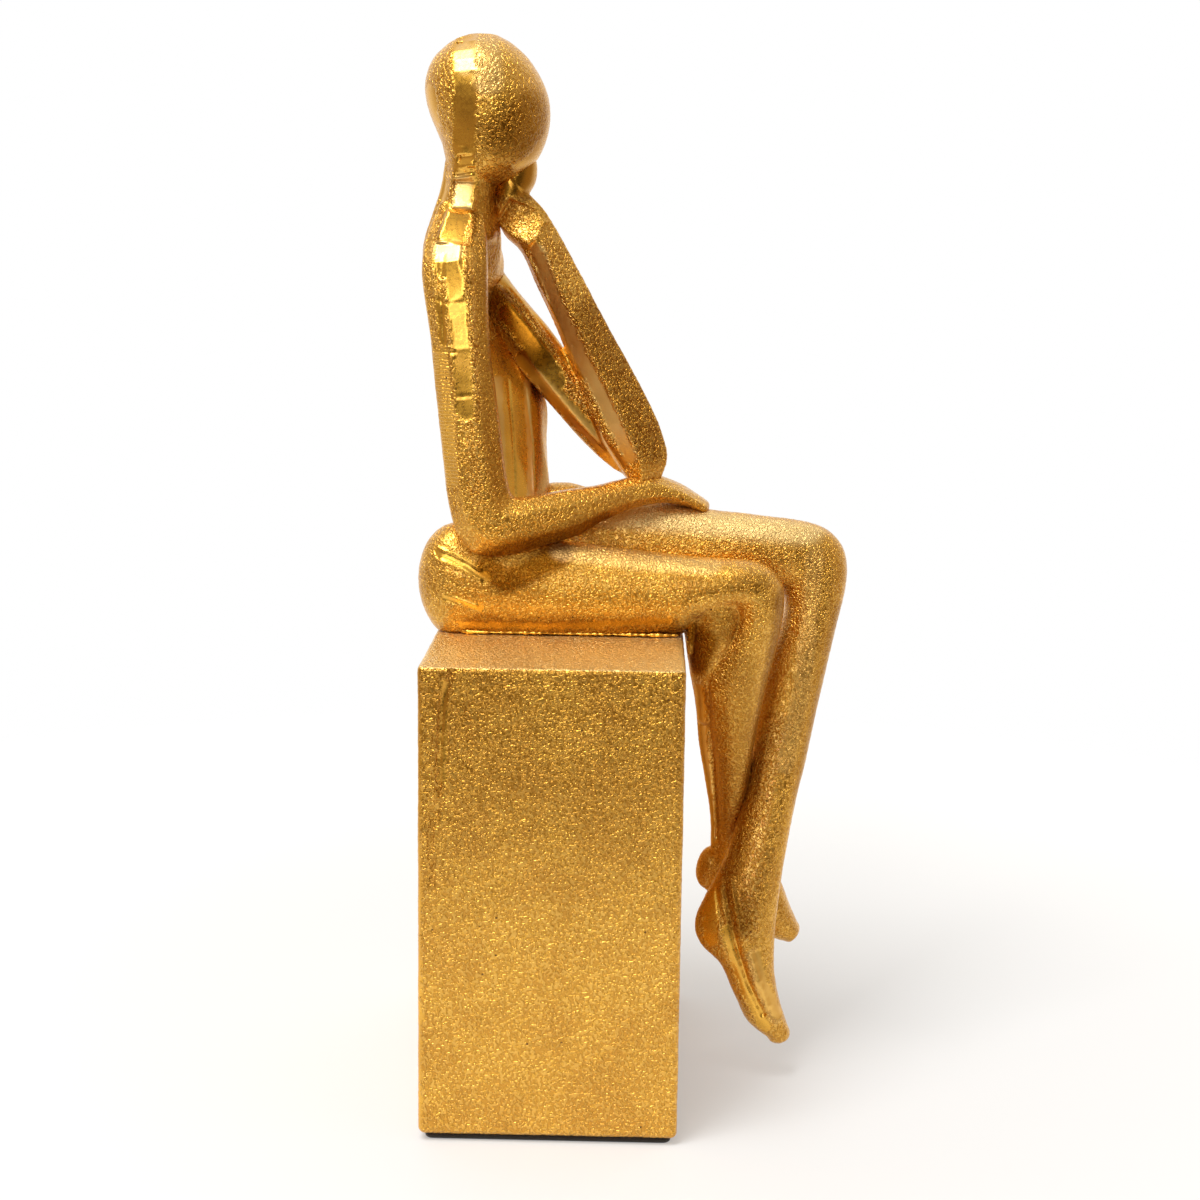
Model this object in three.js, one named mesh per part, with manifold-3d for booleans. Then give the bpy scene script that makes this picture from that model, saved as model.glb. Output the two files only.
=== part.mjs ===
// Seated thinking figure on a tall plinth, cast in resin and gilded.
// Millimetres. X is the way the figure faces, Y is its left-hand side, Z is up.
// The origin is the centre of the felt's underside, on the table.
import * as THREE from 'three';
import { mergeVertices } from 'three/addons/utils/BufferGeometryUtils.js';
import Module from 'manifold-3d';

const wasm = await Module();
wasm.setup();

// Plinth
const plinthLength = 60.4; // along X
const plinthDepth = 100; // along Y
const seatHeight = 112.4; // table to the top of the plinth
const plinthWall = 5;
const plinthTopWall = 14;
const plinthTopRadius = 1.4;
const plinthFootRadius = 1.8;
const plinthCornerRadius = 1.6; // of the four upright edges
const plinthEdgeSteps = 4;

// Under the plinth
const feltThickness = 1;
const feltInset = 1.6;
const boardThickness = 3;
const boardLedge = 2; // how far the board's rebate runs into the wall

// Figure
const figureShift = 4.5; // figure's mid-plane from the plinth's middle, along Y
const hipSpan = 16.6; // between the thighs' centre lines
const shoulderSpan = 29;
const toeClearance = 8.4; // lowest toe to the table
const drawnReach = 104; // drop from seat to toe that the leg stations are given for

// Joints between castings
const glueGap = 0.3;
const pinRadius = 2;
const pinClearance = 0.3;
const pinDepth = 8; // how far a seat pin reaches into the plinth
const pinReach = 10; // and how far a pin reaches into a casting
const pinSides = 16;
const seatPinSetback = 40; // from the plinth's front edge
const hipPinSetback = 46;
const hipPinHeight = 21; // above the seat, at the pin's middle
const shoulderPinHeight = 84;
const rightShoulderPinSetback = 57.5;
const leftShoulderPinSetback = 54;

// Loft resolution
const ringSides = 18;
const ringsPerStation = 2;
const domeRings = 3;

// Finishes
const gold = { color: 0xc98f2b, roughness: 0.36, metalness: 1 };
const finishes = {
  steel: { color: 0x9a9a98, roughness: 0.4, metalness: 0.9 },
  plaster: { color: 0xd9d4c8, roughness: 0.95, metalness: 0 },
  board: { color: 0xa9845c, roughness: 0.85, metalness: 0 },
  felt: { color: 0x2b2622, roughness: 1, metalness: 0 },
};

// Solids from three.js geometry, and back

function solid(geometry) {
  const bare = geometry.clone();
  bare.deleteAttribute('normal');
  bare.deleteAttribute('uv');
  const merged = mergeVertices(bare, 1e-4);
  return new wasm.Manifold(new wasm.Mesh({
    numProp: 3,
    vertProperties: new Float32Array(merged.attributes.position.array),
    triVerts: new Uint32Array(merged.index.array),
  }));
}

function geometryOf(body) {
  const mesh = body.getMesh();
  const geometry = new THREE.BufferGeometry();
  geometry.setAttribute('position', new THREE.BufferAttribute(mesh.vertProperties, 3));
  geometry.setIndex(new THREE.BufferAttribute(mesh.triVerts, 1));
  geometry.computeVertexNormals();
  return geometry;
}

function block(length, depth, bottom, top) {
  const geometry = new THREE.BoxGeometry(length, depth, top - bottom);
  geometry.translate(0, 0, (bottom + top) / 2);
  return solid(geometry);
}

// A round bar from one point to another, in figure coordinates.
function bar(from, to, radius) {
  const start = new THREE.Vector3(...from);
  const end = new THREE.Vector3(...to);
  const axis = end.clone().sub(start);
  const geometry = new THREE.CylinderGeometry(radius, radius, axis.length(), pinSides);
  const turn = new THREE.Quaternion().setFromUnitVectors(new THREE.Vector3(0, 1, 0), axis.normalize());
  geometry.applyQuaternion(turn);
  const middle = start.add(end).multiplyScalar(0.5);
  geometry.translate(middle.x, middle.y, middle.z);
  return solid(geometry);
}

// Lofted limbs. A station is a rung across the limb, seen from the side: its
// front end (x, z), its back end (x, z), then y, half the width across y, the
// roundness of the section (2 is an ellipse, less has ridges, more is boxy) and,
// on the torso, how far the section is turned towards the figure's right, in
// degrees: its near side draws back and its far side comes forward. Stations run
// down a limb or ahead along it, so that the faces of every loft look outwards.

const reach = seatHeight - toeClearance;
const drop = (z) => (z < 0 ? z * (reach / drawnReach) : z);

function spline(a, b, c, d, t) {
  return 0.5 * (2 * b + (c - a) * t + (2 * a - 5 * b + 4 * c - d) * t * t
    + (3 * b - a - 3 * c + d) * t * t * t);
}

function rungs(stations) {
  const fine = [];
  const last = stations.length - 1;
  for (let i = 0; i < last; i += 1) {
    const four = [Math.max(i - 1, 0), i, i + 1, Math.min(i + 2, last)].map((k) => stations[k]);
    for (let step = 0; step < ringsPerStation; step += 1) {
      const t = step / ringsPerStation;
      fine.push(stations[i].map((_, k) => spline(...four.map((s) => s[k]), t)));
    }
  }
  fine.push(stations[last]);
  return fine;
}

// One ring of points: the rung is one axis of the section, Y the other.
function ring(rung, scale, push, grow) {
  const [frontX, frontZ, backX, backZ, y, half, roundness, turned] = rung;
  const turn = THREE.MathUtils.degToRad(turned);
  const across = new THREE.Vector2(frontX - backX, frontZ - backZ).multiplyScalar(0.5);
  const length = across.length();
  across.multiplyScalar((length + grow) / length);
  const ahead = new THREE.Vector2(across.y, -across.x).normalize().multiplyScalar(push);
  const centre = [(frontX + backX) / 2 + ahead.x, (frontZ + backZ) / 2 + ahead.y];
  const points = [];
  for (let k = 0; k < ringSides; k += 1) {
    const angle = (2 * Math.PI * k) / ringSides;
    const c = Math.sign(Math.cos(angle)) * Math.abs(Math.cos(angle)) ** (2 / roundness);
    const s = Math.sign(Math.sin(angle)) * Math.abs(Math.sin(angle)) ** (2 / roundness);
    const along = (c * Math.cos(turn) + s * Math.sin(turn)) * scale;
    points.push(centre[0] + across.x * along, y + (half + grow) * s * scale, centre[1] + across.y * along);
  }
  return points;
}

// domes: how far the rounded ends stand out past the first and last station.
function loft(stations, domes, grow = 0) {
  const fine = rungs(stations.map(
    ([front, back, y, half, roundness, turned = 0]) => [
      front[0], drop(front[1]), back[0], drop(back[1]), y, half, roundness, turned,
    ],
  ));
  const positions = [];
  const dome = (rung, height, side) => {
    const rows = [];
    for (let k = 1; k <= domeRings; k += 1) {
      const angle = (Math.PI / 2) * (k / (domeRings + 0.5));
      rows.push(ring(rung, Math.cos(angle), side * (height + grow) * Math.sin(angle), grow));
    }
    return side < 0 ? rows.reverse() : rows;
  };
  const rows = [
    ...dome(fine[0], domes[0], -1),
    ...fine.map((rung) => ring(rung, 1, 0, grow)),
    ...dome(fine[fine.length - 1], domes[1], 1),
  ];
  const tip = (rung, height, side) => ring(rung, 0, side * (height + grow), grow).slice(0, 3);
  rows.forEach((row) => positions.push(...row));
  const first = rows.length * ringSides;
  positions.push(...tip(fine[0], domes[0], -1), ...tip(fine[fine.length - 1], domes[1], 1));
  const faces = [];
  for (let k = 0; k < ringSides; k += 1) {
    const next = (k + 1) % ringSides;
    faces.push(first, k, next);
    for (let r = 0; r < rows.length - 1; r += 1) {
      const [a, b] = [r * ringSides + k, r * ringSides + next];
      faces.push(a, a + ringSides, b, b, a + ringSides, b + ringSides);
    }
    const end = (rows.length - 1) * ringSides;
    faces.push(first + 1, end + next, end + k);
  }
  const geometry = new THREE.BufferGeometry();
  geometry.setAttribute('position', new THREE.Float32BufferAttribute(positions, 3));
  geometry.setIndex(faces);
  return solid(geometry);
}

// Stations, in figure coordinates: x ahead of the plinth's front edge, y to the
// figure's left of its mid-plane, z above the seat.

const rightHip = -hipSpan / 2;
const leftHip = hipSpan / 2;
const rightShoulder = -shoulderSpan / 2;
const leftShoulder = shoulderSpan / 2;

const head = {
  domes: [0.4, 0.8],
  stations: [
    [[-46.6, 141.1], [-53.5, 141.2], 0, 3.6, 2],
    [[-42.8, 139], [-58, 139.3], 0, 7.8, 2],
    [[-38.7, 135], [-62.1, 135.2], 0, 11.8, 2],
    [[-35.5, 129.6], [-63.8, 129.4], 0, 13.6, 2],
    [[-34.1, 124], [-63, 123.6], 0, 13.8, 2],
    [[-34.6, 118.4], [-60.7, 118.2], 0, 13, 2],
    [[-37, 112.8], [-58.4, 112.6], 0, 11.4, 2],
    [[-41.2, 108.8], [-58.2, 108.6], 0, 9, 2],
    [[-46.6, 106], [-57.4, 105.4], 0, 5.6, 2],
  ],
};

const torso = {
  domes: [2, 4],
  stations: [
    [[-47.5, 112], [-59, 111.5], 0, 6.8, 2, 0],
    [[-47.4, 106], [-60, 105.5], 0, 6.8, 2, 0],
    [[-46.6, 100], [-62, 99.5], 0, 7.4, 2, 0],
    [[-46, 93], [-63.4, 92], 0, 9, 2, 20],
    [[-45.8, 86.5], [-63.3, 84], 0, 10, 2.2, 45],
    [[-47, 77], [-62, 75], 0, 10.2, 2.2, 58],
    [[-41.6, 66], [-60.2, 64], 0, 10.4, 2.2, 56],
    [[-35.7, 55], [-59.5, 54], 0, 10.6, 2.2, 48],
    [[-35, 45], [-58, 44], 0, 11, 2.3, 38],
    [[-34.1, 36], [-56.8, 34], 0, 12, 2.4, 25],
    [[-33.5, 27], [-56, 25], 0, 13.5, 2.4, 10],
    [[-31.9, 18], [-55.5, 16], 0, 14, 2.4, 0],
  ],
};

const rightArm = {
  domes: [3, 1.2],
  stations: [
    [[-50.8, 97.6], [-61.2, 97.5], rightShoulder + 6.4, 3.4, 2],
    [[-48.6, 92.6], [-62.9, 92.2], rightShoulder + 4, 5, 2],
    [[-47.9, 87], [-63.2, 86.6], rightShoulder + 1.8, 5.7, 2],
    [[-47.7, 79], [-62.3, 79], rightShoulder, 6, 2.1],
    [[-47.2, 70], [-60.9, 70], rightShoulder - 0.8, 6, 2.1],
    [[-46, 60], [-59.9, 60], rightShoulder - 1, 6, 2.1],
    [[-44.6, 50], [-58.8, 50], rightShoulder - 1, 6, 2.1],
    [[-43.5, 41], [-57.8, 40.5], rightShoulder - 1, 6, 2.1],
    [[-42.6, 36], [-57, 33.5], rightShoulder - 0.8, 6, 2.1],
    [[-42, 34.2], [-55.2, 25.8], rightShoulder - 0.5, 6, 2.1],
    [[-41.6, 33.4], [-51.8, 20.4], rightShoulder, 6, 2.1],
    [[-40.6, 33], [-47.4, 18.9], rightShoulder + 0.4, 6, 2.1],
    [[-38.2, 33.2], [-42, 19.4], rightShoulder + 1.2, 5.8, 2.1],
    [[-34, 33.8], [-35, 21], rightShoulder + 3, 5.4, 2.1],
    [[-28, 34.6], [-26.5, 23.4], rightShoulder + 6, 5, 2.1],
    [[-21.5, 35.2], [-19.5, 26.8], rightShoulder + 10, 4.6, 2.1],
    [[-14.8, 36.4], [-12.5, 29.2], rightShoulder + 14.5, 4.4, 2.1],
    [[-8.5, 37], [-6.1, 30.1], rightShoulder + 18.5, 4.8, 2.2],
    [[-2.3, 34.8], [-0.8, 29.2], rightShoulder + 22, 5.8, 2.3],
    [[2.4, 32], [2, 28.2], rightShoulder + 23.6, 5.7, 2.3],
    [[5.6, 29.8], [4, 26.8], rightShoulder + 24.6, 5, 2.2],
  ],
};

const leftUpperArm = {
  domes: [3, 2],
  stations: [
    [[-50.6, 97.4], [-60.8, 97.2], leftShoulder - 6.4, 3.4, 2],
    [[-49.4, 93], [-62.3, 91.4], leftShoulder - 4, 5, 2],
    [[-48, 89], [-60.2, 83.6], leftShoulder - 3, 5.6, 2],
    [[-44.9, 84.6], [-53.6, 75], leftShoulder - 4.6, 5.7, 2],
    [[-41, 79.8], [-46.4, 67.8], leftShoulder - 7, 5.6, 2.1],
    [[-33.8, 71.9], [-39.1, 59.8], leftShoulder - 8.6, 5.3, 2.2],
    [[-27.2, 62.6], [-32.4, 52.3], leftShoulder - 7.6, 5.2, 2.2],
    [[-20.4, 54], [-26, 45], leftShoulder - 6.6, 5, 2.2],
    [[-14, 46.6], [-18.4, 38], leftShoulder - 6.6, 4.6, 2.1],
  ],
};

const leftForearm = {
  domes: [1.5, 1.8],
  stations: [
    [[-36.6, 112], [-46.5, 110.5], leftShoulder - 14.5, 5.4, 2.1],
    [[-37, 108.2], [-47.5, 106], leftShoulder - 14.5, 5.4, 2.1],
    [[-38.9, 104.2], [-47.8, 100.4], leftShoulder - 14.5, 5.2, 2.1],
    [[-36.2, 101], [-44.2, 94.6], leftShoulder - 14.4, 5, 2.1],
    [[-32.6, 95.6], [-40.3, 90.6], leftShoulder - 14, 4.6, 1.9],
    [[-27.1, 85.6], [-36.3, 82], leftShoulder - 13.2, 4.6, 1.7],
    [[-21, 74.2], [-31, 70.8], leftShoulder - 12, 5, 1.7],
    [[-14.6, 62.8], [-26.6, 59.4], leftShoulder - 11, 5.3, 1.7],
    [[-10.7, 55.4], [-24.2, 52.4], leftShoulder - 10.6, 5.5, 1.7],
    [[-7.5, 48.6], [-21.4, 46], leftShoulder - 10.2, 5.6, 1.7],
    [[-5.5, 41.6], [-18, 40.8], leftShoulder - 10, 5.4, 1.8],
    [[-6.8, 36], [-14.6, 36], leftShoulder - 9.6, 4.8, 2],
  ],
};

const rightLeg = {
  domes: [10, 2],
  stations: [
    [[-55.8, 26], [-53.7, -2.8], rightHip, 8.6, 2.2],
    [[-42, 23.8], [-41, -3.5], rightHip, 8.9, 2.2],
    [[-28, 21.8], [-28, -3.5], rightHip, 8.8, 2.2],
    [[-14, 20.2], [-14, -3], rightHip, 8.4, 2.2],
    [[-2, 19], [-3, -1.5], rightHip, 8.2, 2.2],
    [[8, 18.2], [4.6, 3.6], rightHip, 8, 2.2],
    [[15.5, 17.8], [9.6, 6], rightHip + 0.2, 7.8, 2.2],
    [[20.6, 16], [12, 5.8], rightHip + 0.3, 7.6, 2.2],
    [[23.6, 12], [12.6, 3.6], rightHip + 0.5, 7.4, 2.2],
    [[24.2, 6.8], [11.8, 0.4], rightHip + 0.8, 7.3, 2.2],
    [[23.5, 1], [9.2, -4], rightHip + 1.1, 7.2, 2.2],
    [[22.3, -5.2], [6.6, -7.8], rightHip + 1.5, 7.1, 2.2],
    [[20.6, -13], [5, -13.2], rightHip + 2.2, 7, 2.2],
    [[18.8, -24], [6.8, -23], rightHip + 4, 6.4, 2.2],
    [[17.5, -35], [8.6, -34.4], rightHip + 6.8, 5.6, 2.2],
    [[16.9, -46], [9.6, -46.2], rightHip + 10.5, 4.7, 2.2],
    [[16.4, -55], [10, -56], rightHip + 13.6, 4.2, 2.2],
    [[17, -62], [9, -64], rightHip + 15.4, 4.2, 2.2],
  ],
};

// The flat back of the right calf, a ridge that hugs the plinth's front edge.
const rightCalf = {
  domes: [1, 1],
  stations: [
    [[13.5, 8.5], [-1.6, 4.6], rightHip + 3, 3.4, 2.4],
    [[14.6, 3], [0.1, -1], rightHip + 3.4, 3.4, 2.4],
    [[13, -4], [1, -6.2], rightHip + 4, 3.2, 2.4],
    [[10.5, -11], [2, -11.8], rightHip + 4.8, 3, 2.4],
    [[9.6, -20], [3.5, -20.4], rightHip + 6, 2.8, 2.4],
    [[10.6, -29], [4.5, -29.6], rightHip + 7.8, 2.6, 2.4],
    [[11.8, -39], [6.3, -39.6], rightHip + 10.4, 2.4, 2.4],
    [[12.6, -50], [8, -50.6], rightHip + 13, 2.2, 2.4],
    [[12.6, -60], [8.1, -60.6], rightHip + 14.6, 2.2, 2.4],
    [[12.6, -66], [8, -66.5], rightHip + 15, 2.2, 2.4],
  ],
};

const rightFoot = {
  domes: [3.2, 1.4],
  stations: [
    [[9, -58.6], [6.8, -69.6], rightHip + 15.8, 3.8, 2],
    [[14.5, -56.5], [10, -72.6], rightHip + 16, 4.6, 2],
    [[20.6, -59.7], [14.6, -76.2], rightHip + 16.3, 5, 2],
    [[25.7, -66.4], [19.4, -79.4], rightHip + 16.8, 5.3, 2.1],
    [[28.9, -74], [24.2, -82.6], rightHip + 17.2, 5.2, 2.1],
    [[31.3, -79.4], [28.2, -83.8], rightHip + 17.4, 4.4, 2.1],
  ],
};

const leftLeg = {
  domes: [9, 2.4],
  stations: [
    [[-55.4, 24.4], [-54, -3], leftHip, 8.6, 2.2],
    [[-43, 31.6], [-41, -3.5], leftHip, 8.9, 2.2],
    [[-30, 34.2], [-27, -2.8], leftHip, 8.8, 2.2],
    [[-18, 31], [-14, 0.6], leftHip, 8.5, 2.2],
    [[-5, 29.8], [-1, 4.6], leftHip, 8.2, 2.2],
    [[6, 28], [8.5, 7.8], leftHip, 8, 2.2],
    [[18, 26.8], [16.6, 9.4], leftHip, 7.8, 2.2],
    [[28.4, 25.6], [22.4, 9], leftHip, 7.6, 2.2],
    [[35.1, 23.6], [24.8, 7], leftHip, 7.4, 2.2],
    [[39.2, 19.6], [25.2, 4], leftHip - 0.2, 7.3, 2.2],
    [[40.6, 14.2], [24.6, 0.6], leftHip - 0.5, 7.2, 2.2],
    [[40.1, 8], [23.6, -3], leftHip - 0.9, 7.1, 2.2],
    [[38.2, -1.2], [22, -8.5], leftHip - 1.6, 7, 2.2],
    [[36, -11.5], [20.3, -16], leftHip - 2.6, 6.9, 2.2],
    [[33.9, -21.5], [18.6, -25], leftHip - 4, 6.7, 2.2],
    [[31.6, -33], [17, -36], leftHip - 6.2, 6.3, 2.2],
    [[29, -43.5], [15, -46.5], leftHip - 9, 5.8, 2.2],
    [[27.1, -53], [12.4, -55], leftHip - 12, 5.4, 2.2],
    [[25.7, -61], [9.4, -62], leftHip - 14.5, 5.1, 2.2],
    [[24.9, -67], [6.5, -67], leftHip - 16.3, 4.9, 2.2],
    [[24.2, -73], [4.2, -72.8], leftHip - 17.6, 4.8, 2.2],
    [[24, -79], [5.5, -78], leftHip - 18.3, 4.7, 2.2],
    [[24.2, -85], [10.6, -83.4], leftHip - 18.6, 4.7, 2.2],
    [[25.3, -91.3], [14.2, -91], leftHip - 18.8, 4.6, 2.2],
    [[26.8, -96.4], [17.7, -98], leftHip - 18.8, 4.3, 2.2],
    [[28.5, -100.8], [22.8, -102], leftHip - 18.8, 3.6, 2.2],
  ],
};

// Castings of one or two lofts each
const castings = {
  torsoAndHead: [torso, head],
  rightArm: [rightArm],
  leftArm: [leftUpperArm, leftForearm],
  rightLeg: [rightLeg, rightCalf, rightFoot],
  leftLeg: [leftLeg],
};

function casting(name, grow = 0) {
  const lofts = castings[name].map((limb) => loft(limb.stations, limb.domes, grow));
  return lofts.reduce((whole, next) => whole.add(next));
}

// A casting without the space of its neighbours, which keeps a glue line free.
function cut(name, neighbours) {
  return neighbours.reduce((rest, other) => rest.subtract(casting(other, glueGap)), casting(name));
}

// Pins: from, to, in figure coordinates, and the castings that each one joins.
// Upright pins come up through a hip, level ones run in from a shoulder.
function upright(setback, y, middle, below, above) {
  return [[-setback, y, middle - below], [-setback, y, middle + above]];
}

function level(setback, y, inward) {
  return [[-setback, y, shoulderPinHeight], [-setback, y + inward, shoulderPinHeight]];
}

const hip = (y) => upright(hipPinSetback, y, hipPinHeight, pinReach, pinReach);
const seat = (y) => upright(seatPinSetback, y, 0, pinDepth, pinReach);
const pins = {
  seat_pin_right: [...seat(rightHip), ['rightLeg']],
  seat_pin_left: [...seat(leftHip), ['leftLeg']],
  hip_pin_right: [...hip(rightHip), ['rightLeg', 'torsoAndHead']],
  hip_pin_left: [...hip(leftHip), ['leftLeg', 'torsoAndHead']],
  shoulder_pin_right: [
    ...level(rightShoulderPinSetback, rightShoulder - 1, pinReach),
    ['rightArm', 'torsoAndHead'],
  ],
  shoulder_pin_left: [
    ...level(leftShoulderPinSetback, leftShoulder, -pinReach),
    ['leftArm', 'torsoAndHead'],
  ],
};

// A pin's hole is wider and longer than the pin by the clearance.
function pinHole([from, to]) {
  const start = new THREE.Vector3(...from);
  const end = new THREE.Vector3(...to);
  const spare = end.clone().sub(start).setLength(pinClearance);
  return bar(start.sub(spare).toArray(), end.add(spare).toArray(), pinRadius + pinClearance);
}

function drilled(body, name) {
  const own = Object.values(pins).filter((pin) => pin[2].includes(name));
  return own.reduce((rest, pin) => rest.subtract(pinHole(pin)), body);
}

// The seat: whatever of a leg lies within the plinth is cut away, with the glue
// line left free above it and in front of it.
function seated(body) {
  const length = 2 * plinthLength;
  const room = new THREE.BoxGeometry(length, plinthDepth, seatHeight);
  room.translate(glueGap - length / 2, -figureShift, glueGap - seatHeight / 2);
  return body.subtract(solid(room));
}

// Plinth: a rounded block, hollow from below, with a rebate for the board

// The corners of a rounded rectangle, drawn in by inset, at height z.
function rimPoints(inset, z) {
  const radius = Math.max(plinthCornerRadius - inset, 0);
  const setIn = Math.max(plinthCornerRadius, inset);
  const cornerX = plinthLength / 2 - setIn;
  const cornerY = plinthDepth / 2 - setIn;
  const points = [];
  [[1, 1, 0], [-1, 1, 1], [-1, -1, 2], [1, -1, 3]].forEach(([sideX, sideY, quarter]) => {
    for (let k = 0; k <= plinthEdgeSteps; k += 1) {
      const angle = (Math.PI / 2) * (quarter + k / plinthEdgeSteps);
      points.push(
        sideX * cornerX + radius * Math.cos(angle),
        sideY * cornerY + radius * Math.sin(angle),
        z,
      );
    }
  });
  return points;
}

// The plinth's outside: rims stacked from the rounded foot to the rounded top.
function plinthOutside(bottom, top) {
  const rims = [];
  for (let k = 0; k <= plinthEdgeSteps; k += 1) {
    const angle = (Math.PI / 2) * (k / plinthEdgeSteps);
    rims.push([plinthFootRadius * (1 - Math.sin(angle)), bottom + plinthFootRadius * (1 - Math.cos(angle))]);
  }
  for (let k = plinthEdgeSteps; k >= 0; k -= 1) {
    const angle = (Math.PI / 2) * (k / plinthEdgeSteps);
    rims.push([plinthTopRadius * (1 - Math.sin(angle)), top - plinthTopRadius * (1 - Math.cos(angle))]);
  }
  const sides = 4 * (plinthEdgeSteps + 1);
  const positions = rims.flatMap(([inset, z]) => rimPoints(inset, z));
  positions.push(0, 0, bottom, 0, 0, top);
  const faces = [];
  const middle = rims.length * sides;
  for (let k = 0; k < sides; k += 1) {
    const next = (k + 1) % sides;
    faces.push(middle, next, k);
    for (let r = 0; r < rims.length - 1; r += 1) {
      const [a, b] = [r * sides + k, r * sides + next];
      faces.push(a, b, a + sides, b, b + sides, a + sides);
    }
    faces.push(middle + 1, middle - sides + k, middle - sides + next);
  }
  const geometry = new THREE.BufferGeometry();
  geometry.setAttribute('position', new THREE.Float32BufferAttribute(positions, 3));
  geometry.setIndex(faces);
  return solid(geometry);
}

const shellBottom = feltThickness + glueGap;
const boardTop = shellBottom + boardThickness;
const hollowLength = plinthLength - 2 * plinthWall;
const hollowDepth = plinthDepth - 2 * plinthWall;
const hollowTop = seatHeight - plinthTopWall;

function plinthShell() {
  const hollow = block(hollowLength, hollowDepth, boardTop, hollowTop);
  const rebate = block(
    hollowLength + 2 * boardLedge,
    hollowDepth + 2 * boardLedge,
    0,
    boardTop + glueGap,
  );
  const outside = plinthOutside(shellBottom, seatHeight);
  const holes = Object.values(pins).filter((pin) => pin[0][2] < 0).map(pinHole);
  const offset = [plinthLength / 2, figureShift, seatHeight];
  return holes.reduce(
    (rest, hole) => rest.subtract(hole.translate(offset)),
    outside.subtract(hollow).subtract(rebate),
  );
}

// The assembly

const part = new THREE.Group();
const figure = new THREE.Group();
figure.position.set(plinthLength / 2, figureShift, seatHeight);
part.add(figure);

function add(parent, name, body, finish) {
  const mesh = new THREE.Mesh(geometryOf(body), new THREE.MeshStandardMaterial(finish));
  mesh.name = name;
  parent.add(mesh);
}

add(part, 'plinth_shell', plinthShell(), gold);
add(part, 'ballast_block', block(
  hollowLength - 2 * glueGap,
  hollowDepth - 2 * glueGap,
  boardTop + glueGap,
  hollowTop - glueGap,
), finishes.plaster);
add(part, 'base_board', block(
  hollowLength + 2 * boardLedge - 2 * glueGap,
  hollowDepth + 2 * boardLedge - 2 * glueGap,
  shellBottom,
  boardTop,
), finishes.board);
add(part, 'felt_pad', block(
  plinthLength - 2 * feltInset,
  plinthDepth - 2 * feltInset,
  0,
  feltThickness,
), finishes.felt);

add(figure, 'right_leg', drilled(seated(casting('rightLeg')), 'rightLeg'), gold);
add(figure, 'left_leg', drilled(seated(cut('leftLeg', ['rightLeg'])), 'leftLeg'), gold);
add(figure, 'torso_and_head', drilled(cut('torsoAndHead', ['rightLeg', 'leftLeg']), 'torsoAndHead'), gold);
add(figure, 'right_arm', drilled(
  cut('rightArm', ['torsoAndHead', 'rightLeg', 'leftLeg']),
  'rightArm',
), gold);
add(figure, 'left_arm', drilled(
  cut('leftArm', ['torsoAndHead', 'rightArm']),
  'leftArm',
), gold);
Object.entries(pins).forEach(([name, [from, to]]) => add(figure, name, bar(from, to, pinRadius), finishes.steel));

export default part;
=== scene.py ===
"""Looks of a gilded seated figurine on a block plinth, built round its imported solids."""

import math

import bpy
import numpy as np
from mathutils import Matrix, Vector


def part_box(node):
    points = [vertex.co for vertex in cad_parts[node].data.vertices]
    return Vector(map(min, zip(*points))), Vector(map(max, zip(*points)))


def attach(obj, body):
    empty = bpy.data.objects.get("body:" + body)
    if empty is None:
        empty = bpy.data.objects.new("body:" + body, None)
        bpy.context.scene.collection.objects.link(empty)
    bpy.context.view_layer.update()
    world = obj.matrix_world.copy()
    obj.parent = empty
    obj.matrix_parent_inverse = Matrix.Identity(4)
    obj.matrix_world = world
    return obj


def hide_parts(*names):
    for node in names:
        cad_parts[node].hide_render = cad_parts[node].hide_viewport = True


bl_info = {
    "name": "Gilded seated figurine",
    "version": (1, 0, 0),
    "blender": (4, 5, 0),
    "location": "View3D > Sidebar > Figurine",
    "description": "Builds the cast limbs, the plinth, its felt and the studio round the solids",
    "category": "Object",
}

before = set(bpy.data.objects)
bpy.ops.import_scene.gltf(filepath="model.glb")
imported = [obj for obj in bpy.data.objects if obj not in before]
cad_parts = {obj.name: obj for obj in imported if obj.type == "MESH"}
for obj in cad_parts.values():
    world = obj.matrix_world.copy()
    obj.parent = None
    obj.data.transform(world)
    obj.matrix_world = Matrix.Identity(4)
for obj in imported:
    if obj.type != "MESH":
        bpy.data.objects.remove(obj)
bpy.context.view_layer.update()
plinth_low, plinth_high = (np.array(corner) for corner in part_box("plinth_shell"))
felt_low, felt_high = (np.array(corner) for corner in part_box("felt_pad"))

MM = 0.001
BODY = "root"

# Limbs. A station is a rung across the limb, seen from the side, in millimetres
# from the plinth's front edge, the figure's mid-plane and the seat: front x, z,
# back x, z, then y, half the width, the roundness of the section and its turn
# in degrees. The domes are how far the limb bulges past its first and last rung.
# The facets are the directions, in degrees round the section from the rung's
# front end over the left side, that are planed flat, and crisp is how fully.

HIP = 8.3
SHOULDER = 14.5
GLUE_LINE = 0.04

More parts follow.
